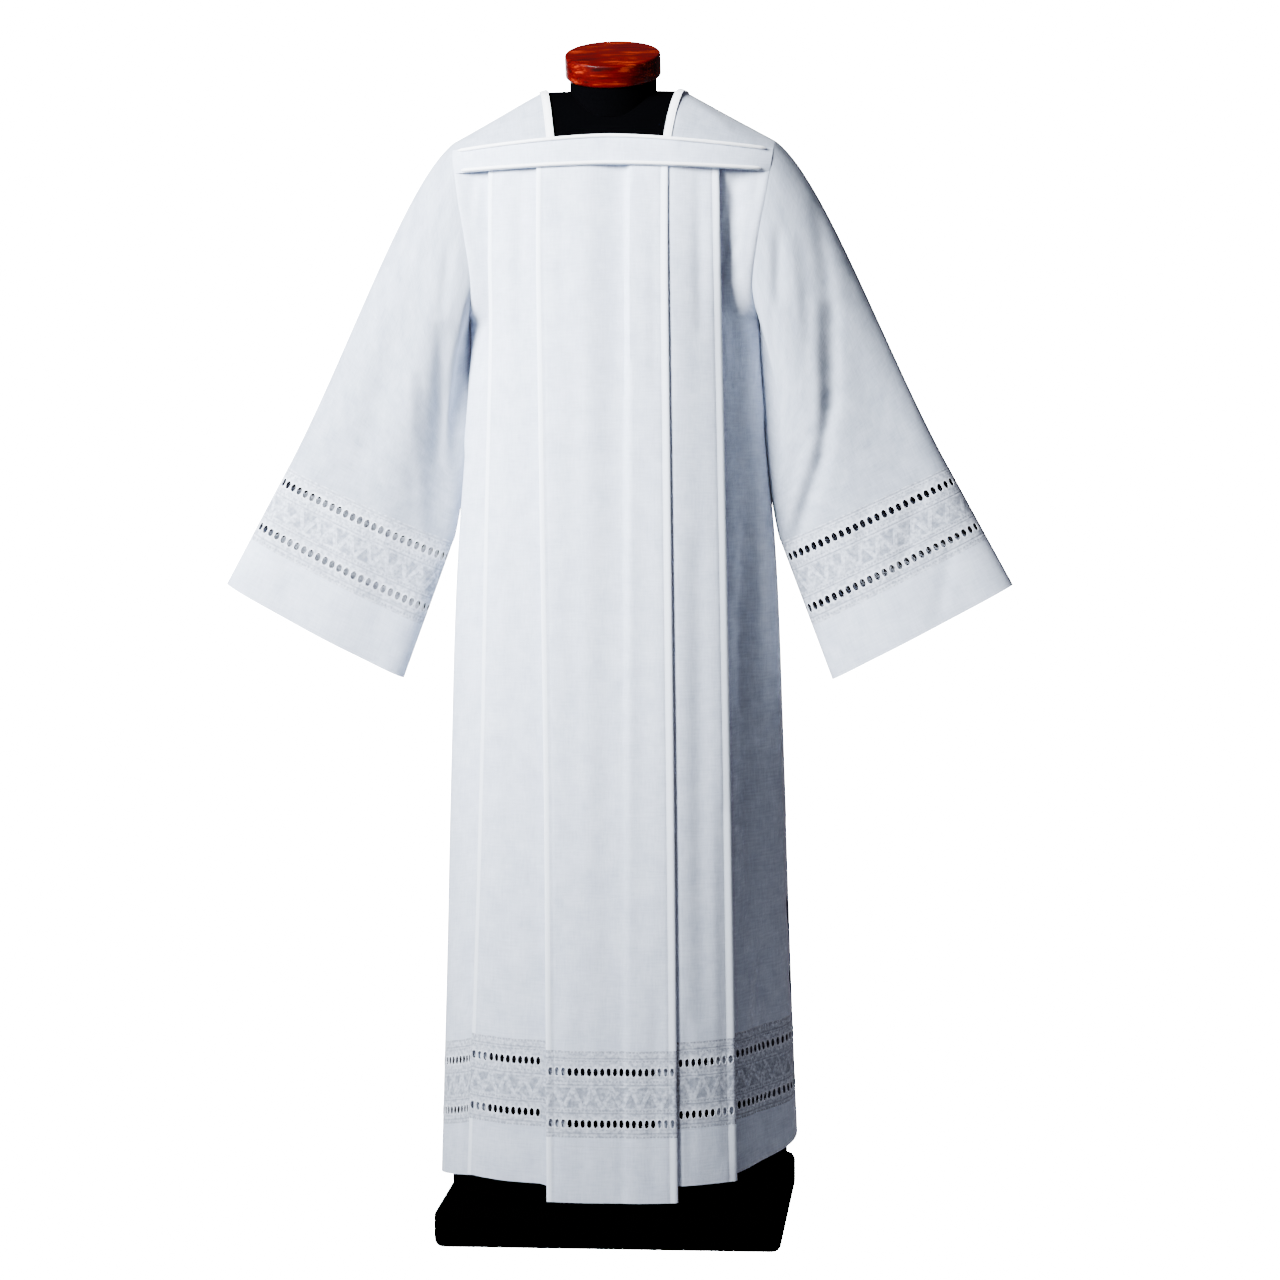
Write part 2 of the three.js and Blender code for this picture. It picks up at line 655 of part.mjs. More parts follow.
function foldDepth(at) {
  return SLEEVE_FOLDS.reduce(
    (sum, fold) => sum + fold.depth * Math.exp(-(((at - fold.at) / fold.width) ** 2)),
    0,
  );
}

// A point of the armhole, from the armpit (0) to the shoulder (1).
function armholePoint(share, face) {
  const z = mix(ARMPIT_Z, SHOULDER_Z, (1 - Math.cos(Math.PI * share)) / 2);
  const x = armX(z);
  return new THREE.Vector3(x, share === 0 || share === 1 ? 0 : bodyY(x, z, face), z);
}

function sleevePoint(turn, step, face) {
  const share = turn / SLEEVE_TURNS;
  const angle = evenAngles(SLEEVE_TURNS, SLEEVE_HALF, SLEEVE_DEPTH)[turn];
  const to = cuffPoint(angle, SLEEVE_LACE + SEAM, face);
  const straight = to.clone().sub(armholePoint(share, face));
  const free = smooth(share / STRAIGHT_SHARE);
  const leave = new THREE.Vector3(
    mix(LEAVE_ARMPIT.x, LEAVE_SHOULDER.x, share),
    face * LEAVE_DEPTH * Math.sin(Math.PI * share),
    mix(LEAVE_ARMPIT.z, LEAVE_SHOULDER.z, share ** 3),
  );
  const outer = new THREE.Vector3(-CUFF_OUTER.dx, 0, -CUFF_OUTER.dz).multiplyScalar(REACH_LACE.outer);
  const inner = new THREE.Vector3(-CUFF_INNER.dx, 0, -CUFF_INNER.dz).multiplyScalar(REACH_LACE.inner);
  const start = straight.clone().lerp(leave, free);
  const reach = straight.clone().lerp(inner.lerp(outer, share), free);
  const from = armholePoint(share, face).addScaledVector(leave.normalize(), 2 * SEAM);
  const point = glide(from, to, start, reach, step);
  point.y -= face * foldDepth(share) * FOLD_KEPT.sleeve * Math.sin(Math.PI * step) ** 2;
  return point;
}

// A closed ring's columns: up the front from the inner edge, then down the back.
function ringColumn(c) {
  return c <= SLEEVE_TURNS
    ? { turn: c, face: FRONT }
    : { turn: 2 * SLEEVE_TURNS - c, face: BACK };
}

function sleeve() {
  const sheet = gridSheet(SLEEVE_STEPS.length, 2 * SLEEVE_TURNS, (r, c) => {
    const { turn, face } = ringColumn(c);
    return sleevePoint(turn, SLEEVE_STEPS[r], face);
  }, { closed: true });
  return wall(sheet);
}

function cuff() {
  const angles = evenAngles(SLEEVE_TURNS, SLEEVE_HALF, SLEEVE_DEPTH);
  const sheet = gridSheet(2, 2 * SLEEVE_TURNS, (r, c) => {
    const { turn, face } = ringColumn(c);
    return cuffPoint(angles[turn], r * (CUFF_BAND - SEAM), face);
  }, { closed: true });
  return wall(sheet);
}

// Half of the sleeve's lace. Its two halves meet at the inner and outer edges.
function sleeveLace(face, cells, isCut) {
  const angles = evenAngles(cells, SLEEVE_HALF, SLEEVE_DEPTH);
  angles[0] = HALF_SEAM_ANGLE;
  angles[cells] = Math.PI - HALF_SEAM_ANGLE;
  const pointAt = (c, v) => {
    const angle = mix(angles[Math.floor(c)], angles[Math.ceil(c)], c - Math.floor(c));
    return cuffPoint(angle, mix(CUFF_BAND, SLEEVE_LACE, v), face);
  };
  const height = SLEEVE_LACE - CUFF_BAND;
  const rows = SLEEVE_EYELET_ROWS.map((up) => (up - CUFF_BAND) / height);
  return wall(laceSheet(cells + 1, pointAt, isCut, rows, EYELET.high / 2 / height));
}

// ---------------------------------------------------------------- dress form
// The torso takes the yoke's own grid on the shoulders, moved in under the cloth.
function formTorso() {
  const grid = yokeSheet();
  const normals = sheetNormals(grid);
  const width = 2 * YOKE_HALF + 1;
  const columns = width - 2;
  const path = [];
  const lower = (face) => FORM_ROWS.map((row) => ({ row, face }));
  lower(FRONT).forEach((row) => path.push(row));
  YOKE_PATH.slice(0, -1).forEach((_, index) => path.push({ index }));
  lower(BACK).reverse().forEach((row) => path.push(row));
  const pointAt = (r, c) => {
    const { index, row, face } = path[r];
    if (row) {
      const turn = (2 * c / (columns - 1) - 1) * FORM_TURN;
      const x = Math.sign(turn) * row.wide * Math.sin(Math.abs(turn)) ** (2 / SECTION_POWER);
      const deep = face === FRONT ? row.front : row.back;
      return new THREE.Vector3(x, face * deep * Math.cos(turn) ** (2 / SECTION_POWER), row.z);
    }
    const at = index * width + c + 1;
    return grid.points[at].clone().addScaledVector(normals[at], -CLOTH / 2 - FORM_CLEAR);
  };
  const sheet = gridSheet(path.length, columns, pointAt);
  const rows = path.length;
  const faces = [...sheet.faces];
  const strip = (r, mirrorRow, c0, c1) => {
    const [a, b] = [r * columns + c0, r * columns + c1];
    const [d, e] = [mirrorRow * columns + c0, mirrorRow * columns + c1];
    faces.push([a, d, e], [a, e, b]);
  };
  for (let c = 0; c + 1 < columns; c += 1) strip(0, rows - 1, c, c + 1);
  for (const c of [0, columns - 1]) {
    for (let r = 0; r < (rows - 1) / 2; r += 1) {
      const far = rows - 1 - r;
      const quad = [r * columns + c, (r + 1) * columns + c, (far - 1) * columns + c, far * columns + c];
      const ends = c === 0 ? quad : [...quad].reverse();
      faces.push([ends[0], ends[1], ends[2]], [ends[0], ends[2], ends[3]]);
    }
  }
  return solid(sheet.points, faces.filter(([a, b, c]) => a !== b && b !== c && a !== c));
}

// The neck's top leans forwards, and the cap lies on it.
function neckColumn() {
  const profile = [[0, 0], [NECK.radius + 2, 0], [NECK.radius, 1], [0, 1]];
  const geometry = new THREE.LatheGeometry(profile.map(([r, z]) => new THREE.Vector2(r, z)), 24);
  geometry.rotateX(Math.PI / 2);
  const position = geometry.getAttribute('position');
  for (let i = 0; i < position.count; i += 1) {
    const top = NECK.top + Math.tan(NECK_TILT) * position.getY(i);
    position.setZ(i, mix(NECK.bottom, top, position.getZ(i)));
    position.setY(i, position.getY(i) + NECK.y);
  }
  return geometry;
}

function capGeometry() {
  const { radius, thick, edge } = CAP;
  const profile = [
    [0, SEAM], [radius - edge, SEAM], [radius, edge],
    [radius, thick - edge], [radius - edge, thick], [0, thick],
  ];
  const geometry = new THREE.LatheGeometry(profile.map(([r, z]) => new THREE.Vector2(r, z)), 28);
  geometry.rotateX(Math.PI / 2);
  geometry.rotateX(NECK_TILT);
  geometry.translate(0, NECK.y, NECK.top);
  return geometry;
}

function baseGeometry() {
  const rings = [
    { shape: BASE, z: 0, inset: BASE.round },
    { shape: BASE, z: BASE.round * 0.3, inset: BASE.round * 0.3 },
    { shape: BASE, z: BASE.round, inset: 0 },
    { shape: BASE, z: BASE.top, inset: 0 },
    { shape: RISER, z: BASE.top, inset: 0 },
    { shape: RISER, z: RISER.top - RISER.edge, inset: 0 },
    { shape: RISER, z: RISER.top, inset: RISER.edge },
  ];
  const around = 40;
  const sheet = gridSheet(rings.length, around, (r, c) => {
    const { shape, z, inset } = rings[r];
    const angle = 2 * Math.PI * c / around;
    const [across, along] = [Math.cos(angle), Math.sin(angle)];
    const reach = (Math.abs(across) ** shape.power + Math.abs(along) ** shape.power) ** (-1 / shape.power);
    const x = (shape.wide - inset) * reach * across;
    return new THREE.Vector3(x, (shape.deep - inset) * reach * along, z);
  }, { closed: true });
  const underside = sheet.points.push(new THREE.Vector3(0, 0, 0)) - 1;
  const upside = sheet.points.push(new THREE.Vector3(0, 0, RISER.top)) - 1;
  const last = (rings.length - 1) * around;
  for (let c = 0; c < around; c += 1) {
    const next = (c + 1) % around;
    sheet.faces.push([underside, next, c], [upside, last + c, last + next]);
  }
  return solid(sheet.points, sheet.faces);
}

function poleGeometry() {
  const top = FORM_ROWS[0].z - SEAM;
  const foot = RISER.top + SEAM;
  const geometry = new THREE.CylinderGeometry(POLE.radius, POLE.radius, top - foot, 16);
  geometry.rotateX(Math.PI / 2);
  geometry.translate(0, 0, (top + foot) / 2);
  return geometry;
}

// Joins two closed geometries into one.
function joined(wasm, first, second) {
  const toManifold = (geometry) => {
    const bare = new THREE.BufferGeometry();
    bare.setAttribute('position', geometry.getAttribute('position'));
    bare.setIndex(geometry.getIndex());
    const merged = outwards(mergeVertices(bare, 1e-4));
    const corners = Array.from(merged.getIndex().array);
    const triVerts = [];
    for (let i = 0; i < corners.length; i += 3) {
      const triangle = corners.slice(i, i + 3);
      if (new Set(triangle).size === 3) triVerts.push(...triangle);
    }
    return new wasm.Manifold(new wasm.Mesh({
      numProp: 3,
      vertProperties: new Float32Array(merged.getAttribute('position').array),
      triVerts: new Uint32Array(triVerts),
    }));
  };
  const mesh = toManifold(first).add(toManifold(second)).getMesh();
  const geometry = new THREE.BufferGeometry();
  geometry.setAttribute('position', new THREE.Float32BufferAttribute(mesh.vertProperties, 3));
  geometry.setIndex(Array.from(mesh.triVerts));
  return geometry;
}

// ---------------------------------------------------------------- the part
const LINEN = { color: 0xeef1f4, roughness: 0.9 };
const LACE = { color: 0xe6e9ee, roughness: 0.95 };
const TRIM = { color: 0xffffff, roughness: 0.8 };
const JERSEY = { color: 0x0b0b0d, roughness: 0.95 };
const WOOD = { color: 0x6e1f0b, roughness: 0.25 };
const LACQUER = { color: 0x050505, roughness: 0.4 };
const STEEL = { color: 0x9a9da1, roughness: 0.3, metalness: 0.9 };

const wasm = await Module();
wasm.setup();

const alb = new THREE.Group();

function add(name, look, geometry) {
  const mesh = new THREE.Mesh(geometry, new THREE.MeshStandardMaterial(look));
  mesh.name = name;
  alb.add(mesh);
}

// A piece of the left side and its mirror image on the right.
function addPair(name, look, geometry) {
  add(`${name}_left`, look, geometry);
  add(`${name}_right`, look, mirrored(geometry));
}

add('front_panel', LINEN, panel(FRONT));
add('back_panel', LINEN, panel(BACK));
add('front_lace', LACE, hemLace(FRONT, FRONT_EYELETS));
add('back_lace', LACE, hemLace(BACK, BACK_EYELETS));
add('front_hem', LINEN, hemBand(FRONT));
add('back_hem', LINEN, hemBand(BACK));
add('yoke', LINEN, yoke());
add('front_band', LINEN, frontBand());
add('piping_lower', TRIM, piping(BAND_BOTTOM, 1, PIPING.lower));
add('piping_upper', TRIM, piping(BAND_TOP, -1, PIPING.upper));
addPair('neck_facing', TRIM, neckFacing());
addPair('sleeve', LINEN, sleeve());
addPair('sleeve_lace_front', LACE, sleeveLace(FRONT, SLEEVE_EYELETS, () => true));
addPair('sleeve_lace_back', LACE, sleeveLace(BACK, SLEEVE_TURNS, () => false));
addPair('cuff', LINEN, cuff());
add('form_torso', JERSEY, joined(wasm, formTorso(), neckColumn()));
add('form_cap', WOOD, capGeometry());
add('form_pole', STEEL, poleGeometry());
add('form_base', LACQUER, baseGeometry());

export default alb;
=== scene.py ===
# %% [markdown]
# # An alb on a dress form
# An alb is a wide white gown that hangs from a yoke on the shoulders. This one has a square
# neck, a box pleat down the middle with a second pleat beside it on each side, wide sleeves,
# and an openwork lace let into the hem and the sleeves. It hangs on a limbless dress form.
# Each piece of cloth could be sculpted or simulated. Here each is cut flat, as a grid, and its
# points are then hung on the body's form, because pressed pleats and rows of eyelets have to
# fall exactly where the maker folded and punched them.

# %% Start from the frame
import math

import bpy
import numpy as np
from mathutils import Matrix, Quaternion, Vector


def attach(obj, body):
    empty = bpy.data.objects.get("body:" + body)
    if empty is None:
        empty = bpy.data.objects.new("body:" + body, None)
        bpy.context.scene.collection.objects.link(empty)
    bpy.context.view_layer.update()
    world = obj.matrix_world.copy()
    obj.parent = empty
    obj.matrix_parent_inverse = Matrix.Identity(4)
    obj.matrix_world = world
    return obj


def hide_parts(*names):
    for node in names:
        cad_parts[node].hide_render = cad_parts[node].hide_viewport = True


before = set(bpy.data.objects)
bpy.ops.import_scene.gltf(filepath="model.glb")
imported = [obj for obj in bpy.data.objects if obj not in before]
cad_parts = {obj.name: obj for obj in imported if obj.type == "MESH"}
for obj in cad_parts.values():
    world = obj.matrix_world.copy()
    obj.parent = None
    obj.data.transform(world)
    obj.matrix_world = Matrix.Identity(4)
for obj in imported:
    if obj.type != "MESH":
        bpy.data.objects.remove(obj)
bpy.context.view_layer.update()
print("nodes in the frame:", len(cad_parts))

# %% [markdown]
# ## Camera and studio
# A long lens from a little over five metres keeps the upright lines of the gown upright. The
# camera stands slightly to the wearer's left and looks down a little. A roll of a third of a
# degree levels the shoulders.

# %% Camera
CAMERA_TURN = math.radians(5.45)
CAMERA_REACH = 5.2
CAMERA_HEIGHT = 1.25
CAMERA_AIM = Vector((0.0303, 0.0, 0.7705))
CAMERA_ROLL = math.radians(-0.3)
CAMERA_LENS = 111.9

bpy.ops.object.select_all(action="DESELECT")
bpy.ops.object.camera_add(location=(
    CAMERA_REACH * math.sin(CAMERA_TURN), -CAMERA_REACH * math.cos(CAMERA_TURN), CAMERA_HEIGHT,
))
camera = bpy.context.object
look = (CAMERA_AIM - camera.location).to_track_quat("-Z", "Y")
camera.rotation_euler = (look @ Quaternion((0, 0, 1), CAMERA_ROLL)).to_euler()
camera.data.lens = CAMERA_LENS
bpy.context.scene.camera = camera
print("camera at", tuple(round(v, 3) for v in camera.location))

# %% [markdown]
# White cloth shows its form only by soft shade. One large light stands high on the left with
# a narrow spread, a weaker one beside the camera softens the shade that it casts, and a third
# lights the back of the gown. The room looks brighter to the camera than it is to the cloth,
# which keeps the background white.

# %% Lights and room
LIGHTS = [  # name, place, aim, size, power, tint, spread in degrees
    ("key", (-2.15, -2.1, 2.5), (-0.36, 0.0, 1.44), 1.5, 104, (0.94, 0.97, 1.0), 46),
    ("fill", (-2.0, -4.4, 2.1), (-0.2, 0.0, 0.8), 1.6, 26, (0.90, 0.94, 1.0), 180),
    ("rim", (-1.0, 3.7, 1.5), (0.0, 0.0, 0.85), 2.0, 105, (0.96, 0.98, 1.0), 110),
]
ROOM_SHADE = {"Color": (0.88, 0.87, 1.0, 1), "Strength": 0.17}
ROOM_SEEN = {"Color": (0.985, 0.99, 1.0, 1), "Strength": 30.0}


def set_inputs(node, values):
    """Sets a node's own sockets, by their labels."""
    for label, value in values.items():
        node.inputs[label].default_value = value


for name, place, aim, size, power, tint, spread in LIGHTS:
    bpy.ops.object.light_add(type="AREA", location=place)
    lamp = bpy.context.object
    lamp.name = name
    lamp.data.size = size
    lamp.data.energy = power
    lamp.data.color = tint
    lamp.data.spread = math.radians(spread)
    lamp.rotation_euler = (Vector(aim) - lamp.location).to_track_quat("-Z", "Y").to_euler()

room = bpy.data.worlds.new("pale room")
room.use_nodes = True
bpy.context.scene.world = room
room_nodes, room_links = room.node_tree.nodes, room.node_tree.links
room_nodes.clear()
choose = room_nodes.new("ShaderNodeMixShader")
room_links.new(room_nodes.new("ShaderNodeLightPath").outputs["Is Camera Ray"], choose.inputs[0])
for socket, look in zip(choose.inputs[1:], (ROOM_SHADE, ROOM_SEEN)):
    background = room_nodes.new("ShaderNodeBackground")
    set_inputs(background, look)
    room_links.new(background.outputs[0], socket)
room_links.new(choose.outputs[0], room_nodes.new("ShaderNodeOutputWorld").inputs[0])
print("lights:", len(LIGHTS))

# %% [markdown]
# The floor could be a large plane, but its edge would draw a horizon across the white. This
# one is a disc whose alpha fades out well inside its rim, so only a faint ground is left.

# %% Floor
FLOOR_RADIUS = 2.6
FLOOR_FADE = (0.2, FLOOR_RADIUS * 0.6)
FLOOR_ALPHA = (0.25, 0.0)

bpy.ops.object.select_all(action="DESELECT")
bpy.ops.mesh.primitive_circle_add(vertices=96, radius=FLOOR_RADIUS, fill_type="NGON", location=(0, 0, 0))
floor = bpy.context.object
floor.name = "studio_floor"
floor_look = bpy.data.materials.new("pale floor")
floor_look.use_nodes = True
floor_nodes, floor_links = floor_look.node_tree.nodes, floor_look.node_tree.links
matt = floor_nodes["Principled BSDF"]
set_inputs(matt, {
    "Base Color": (0.95, 0.96, 0.98, 1), "Roughness": 0.95,
    "Emission Color": (0.96, 0.98, 1.0, 1), "Emission Strength": 0.15,
})
middle_out = floor_nodes.new("ShaderNodeVectorMath")
middle_out.operation = "LENGTH"
rim_fade = floor_nodes.new("ShaderNodeMapRange")
rim_fade.interpolation_type = "SMOOTHSTEP"
for socket, value in zip(rim_fade.inputs[1:5], FLOOR_FADE + FLOOR_ALPHA):
    socket.default_value = value
floor_links.new(floor_nodes.new("ShaderNodeTexCoord").outputs["Object"], middle_out.inputs[0])
floor_links.new(middle_out.outputs["Value"], rim_fade.inputs[0])
floor_links.new(rim_fade.outputs[0], matt.inputs["Alpha"])
floor.data.materials.append(floor_look)
print("studio ready")

# %% [markdown]
# ## The form under the cloth
# The gown's form is a stack of oval sections below the armpits. Above them every upright line
# leans in to the shoulder ridge. The numbers are millimetres, with +Z up and the front facing
# -Y, and each table has a row for each height. Working on whole arrays of points at once keeps
# ten thousands of them quick.

# %% Sections of the body
FRONT, BACK = -1, 1
ARMPIT_Z = 1190
SECTION_POWER = 2.4
SHOULDER_POWER = 2.5
SECTION_STEP = 0.004
BODY = {
    "z": (60, 300, 600, 900, 1114, 1190, 1240, 1300, 1350, 1419, 1510),
    "wide": (238, 230, 221, 210, 193, 190, 198, 213, 226, 239, 250),
    "front": (205, 186, 162, 139, 121, 116, 113, 110, 107, 104, 100),
    "back": (205, 182, 156, 134, 116, 110, 107, 104, 101, 98, 94),
}
ARMHOLE = {
    "z": (1190, 1196, 1204, 1216, 1240, 1300, 1350, 1419),
    "share": (1.0, 0.988, 0.972, 0.95, 0.92, 0.892, 0.88, 0.875),
}
RIDGE_NECK_X = 87
RIDGE_NECK_Z = 1485
RIDGE_SLOPE = 0.54
RIDGE_CROWN = 2

# %% [markdown]
# Straight lines between a table's rows would leave a kink at each height, which shows on
# smooth cloth. So a table is read along a cubic curve whose slope is the same on both sides
# of every row.

# %% Ramps and tables
def mix(a, b, t):
    return a + (b - a) * t


def clamp01(t):
    return np.clip(t, 0.0, 1.0)


def smooth(t):
    return clamp01(t) ** 2 * (3 - 2 * clamp01(t))


def ramp(t, start, length):
    """0 up to a start, then rising softly to 1 over a length."""
    return smooth((t - start) / length)


def table_at(table, column, z):
    """A table's column at a height, on a smooth curve through its rows."""
    heights = np.array(table["z"], float)
    values = np.array(table[column], float)
    slopes = np.empty_like(values)
    slopes[1:-1] = (values[2:] - values[:-2]) / (heights[2:] - heights[:-2])
    slopes[0] = (values[1] - values[0]) / (heights[1] - heights[0])
    slopes[-1] = (values[-1] - values[-2]) / (heights[-1] - heights[-2])
    z = np.clip(z, heights[0], heights[-1])
    i = np.clip(np.searchsorted(heights, z, side="right") - 1, 0, len(heights) - 2)
    span = heights[i + 1] - heights[i]
    t = (z - heights[i]) / span
    bend = (1 - t) * slopes[i] - t * slopes[i + 1]
    return mix(values[i], values[i + 1], t * t * (3 - 2 * t)) + span * t * (1 - t) * bend

# %% [markdown]
# A point of the gown is found from its place across and its height. The section at that height
# is a superellipse, which is squarer than an oval, and a second one leans it in to the ridge.

# %% The gown's surface
def ridge_z(x):
    out = np.abs(x) - RIDGE_NECK_X
    crown = RIDGE_NECK_Z + RIDGE_CROWN * (1 - (x / RIDGE_NECK_X) ** 2)
    return np.where(out > 0, RIDGE_NECK_Z - RIDGE_SLOPE * out, crown)


def body_wide(z):
    return table_at(BODY, "wide", z)


def body_deep(z, face):
    return np.where(np.asarray(face) == FRONT, table_at(BODY, "front", z), table_at(BODY, "back", z))


def arm_x(z):
    return body_wide(z) * table_at(ARMHOLE, "share", z)


def across_share(x, z):
    reach = np.minimum(1.0, np.abs(x) / body_wide(z))
    return (1 - reach ** SECTION_POWER) ** (1 / SECTION_POWER)


def lean_share(x, z):
    up = clamp01((z - ARMPIT_Z) / (ridge_z(x) - ARMPIT_Z))
    return (1 - up ** SHOULDER_POWER) ** (1 / SHOULDER_POWER)


def body_y(x, z, face):
    return face * body_deep(z, face) * across_share(x, z) * lean_share(x, z)


def turn_of(x, z):
    return np.arcsin(np.minimum(1.0, x / body_wide(z)) ** (SECTION_POWER / 2)) / (np.pi / 2)


def section_point(turn, z, face, half):
    """A section's point and its outward direction, from the middle of a face to the side."""
    def at(t):
        x = body_wide(z) * np.sin(t * np.pi / 2) ** (2 / SECTION_POWER)
        return half * x, body_y(x, z, face)

    x0, y0 = at(np.maximum(0.0, turn - SECTION_STEP))
    x1, y1 = at(np.minimum(1.0, turn + SECTION_STEP))
    out_x, out_y = -(y1 - y0) * half * face, (x1 - x0) * half * face
    length = np.hypot(out_x, out_y)
    side = turn > 0.999
    out_x = np.where(side, half, out_x / length)
    out_y = np.where(side, 0.0, out_y / length)
    x, y = at(turn)
    return x, y, out_x, out_y


print("half width of the gown at the hem, mm:", round(float(body_wide(60.0)), 1))

# %% [markdown]
# ## Cutting and hanging cloth
# A piece of cloth starts flat: a grid primitive with as many columns and rows as the piece
# needs. Its points are then moved to where the cloth hangs. The UV map keeps the lengths of
# its middle row and column in metres, so a weave drawn on it hardly stretches. A Solidify
# modifier gives the sheet its thickness last of all, when nothing moves any more.

# %% Cloth helpers
MM = 0.001
CLOTH_WALL = 0.9
MERGE_WITHIN = 0.00005
SHARP_ANGLE = 48


def flat_cloth(name, columns, rows):
    """A flat grid of points, with the grid's place of each of its vertices."""
    bpy.ops.object.select_all(action="DESELECT")
    bpy.ops.mesh.primitive_grid_add(x_subdivisions=columns - 1, y_subdivisions=rows - 1, size=1)
    piece = bpy.context.object
    piece.name = name
    count = len(piece.data.vertices)
    assert count == columns * rows, (name, count, columns, rows)
    flat = np.empty(count * 3)
    piece.data.vertices.foreach_get("co", flat)
    flat = flat.reshape(-1, 3)
    across = np.rint((flat[:, 0] + 0.5) * (columns - 1)).astype(int)
    up = np.rint((flat[:, 1] + 0.5) * (rows - 1)).astype(int)
    return piece, up, across


def run_lengths(points, axis):
    """Length along the middle line of a grid of points, from its start."""
    line = points[points.shape[0] // 2] if axis == 1 else points[:, points.shape[1] // 2]
    steps = np.linalg.norm(np.diff(line, axis=0), axis=1)
    return np.concatenate([[0.0], np.cumsum(steps)])


def hang(name, points, keep=None, facts=None, pattern=None, closed=False, wall=CLOTH_WALL, even=True):
    """Cuts a cloth as large as a grid of points, hangs it on them and thickens it.

    keep says which cells stay, facts are numbers stored at the points, and pattern is a
    second UV map. A closed cloth's last column meets its first."""
    rows, columns = points.shape[:2]
    piece, up, across = flat_cloth(name, columns, rows)
    mesh = piece.data
    mesh.vertices.foreach_set("co", (points[up, across] * MM).ravel())
    flat_u = run_lengths(points, 1)
    flat_v = run_lengths(points, 0)
    corners = np.empty(len(mesh.loops), int)
    mesh.loops.foreach_get("vertex_index", corners)
    maps = {"UVMap": np.stack([flat_u[across], flat_v[up]], -1) * MM}
    if pattern is not None:
        maps["pattern"] = pattern[up, across]
    for label, values in maps.items():
        layer = mesh.uv_layers.get(label) or mesh.uv_layers.new(name=label)
        layer.data.foreach_set("uv", values[corners].ravel())
    for label, values in (facts or {}).items():
        stored = mesh.attributes.new(label, "FLOAT", "POINT")
        stored.data.foreach_set("value", values[up, across].astype(float))
    mesh.update()
    if keep is not None:
        starts = np.empty(len(mesh.polygons), int)
        mesh.polygons.foreach_get("loop_start", starts)
        cells = corners[starts[:, None] + np.arange(4)]
        bpy.ops.object.mode_set(mode="EDIT")
        bpy.ops.mesh.select_all(action="DESELECT")
        bpy.ops.mesh.select_mode(type="FACE")
        bpy.ops.object.mode_set(mode="OBJECT")
        mesh.polygons.foreach_set("select", ~keep[up[cells].min(axis=1), across[cells].min(axis=1)])
        bpy.ops.object.mode_set(mode="EDIT")
        bpy.ops.mesh.delete(type="FACE")
        bpy.ops.object.mode_set(mode="OBJECT")
    if closed:
        bpy.ops.object.mode_set(mode="EDIT")
        bpy.ops.mesh.select_all(action="SELECT")
        bpy.ops.mesh.remove_doubles(threshold=MERGE_WITHIN)
        bpy.ops.object.mode_set(mode="OBJECT")
    thicken = piece.modifiers.new("wall", "SOLIDIFY")
    thicken.thickness = wall * MM
    thicken.offset = 0
    thicken.use_even_offset = even
    bpy.ops.object.modifier_apply(modifier="wall")
    bpy.ops.object.shade_smooth_by_angle(angle=math.radians(SHARP_ANGLE))
    print(f"{name}: flat {flat_u[-1]:.0f} x {flat_v[-1]:.0f} mm, {len(mesh.polygons)} faces")
    return piece

# %% [markdown]
# Creases are listed one by one. A cloth simulation would find its own, but not those that this
# gown has. Each is a soft trough, or a ridge if its depth is negative, along a line seen from
# the front, deepest at its middle.

# %% Creases and normals
CREASE_ENDS = 0.3
CREASE_RUN = (0.12, 0.88)


def creased(creases, x, z):
    """Depth of a list of creases at points seen from the front.

    Each crease is x and z of its one end, x and z of its other, half width and depth."""
    depth = np.zeros(np.broadcast(x, z).shape)
    for x0, z0, x1, z1, wide, deep in creases:
        run = (x1 - x0) ** 2 + (z1 - z0) ** 2
        t = clamp01(((x - x0) * (x1 - x0) + (z - z0) * (z1 - z0)) / run)
        gap = np.hypot(x - mix(x0, x1, t), z - mix(z0, z1, t)) / wide
        swell = CREASE_ENDS + (1 - CREASE_ENDS) * np.sin(np.pi * mix(*CREASE_RUN, t))
        depth = depth + deep * swell * np.exp(-gap ** 2)
    return depth


def normals_of(points, outward):
    """Unit normals of a grid of points, on the side that the outward hint points to."""
    across = np.gradient(points, axis=1)
    up = np.gradient(points, axis=0)
    normal = np.cross(across, up)
    normal /= np.maximum(np.linalg.norm(normal, axis=-1, keepdims=True), 1e-9)
    return normal if (normal * outward).sum() > 0 else -normal

# %% [markdown]
# ## The pleated front and back
# A panel is one width of cloth with two folds on each side of its middle: the box pleat's edge
# turns under and comes out again as a second pleat, and that turns under to meet the side
# panel. Solid folds could be modelled one by one, but a path across half of the panel, with a
# part for each flat stretch and each rounded fold, folds the whole width at once. All layers
# take the same creases, so no layer is pushed through another.

# %% Folding a panel
PLEATS = {
    "z": (60, 600, 1190, 1400),
    "layer": (4.0, 3.8, 3.0, 2.4),
    "tuck": (6, 12, 8, 0),
    "hollow": (1.5, 3, 9, 8.5),
    "inside": (0.8, 1.2, 1.6, 3.4),
}
BESIDE = {"z": PLEATS["z"], "left": (-3.5, -3.5, -3, -2), "right": (4, 4.5, 3.5, 1)}
BACK_EDGES = {"z": PLEATS["z"], "centre": (84.5, 84, 83.5, 83), "tier": (175, 163, 150, 145)}
LEFT_EDGES = {"z": PLEATS["z"], "centre": (93, 87, 79, 77), "tier": (172, 162, 149, 143)}
RIGHT_EDGES = {"z": PLEATS["z"], "centre": (76, 81, 91, 93), "tier": (195, 176, 163, 160)}
UNDER_CENTRE = 25
UNDER_TIER = 22
SIDE_SEAM = 0.45
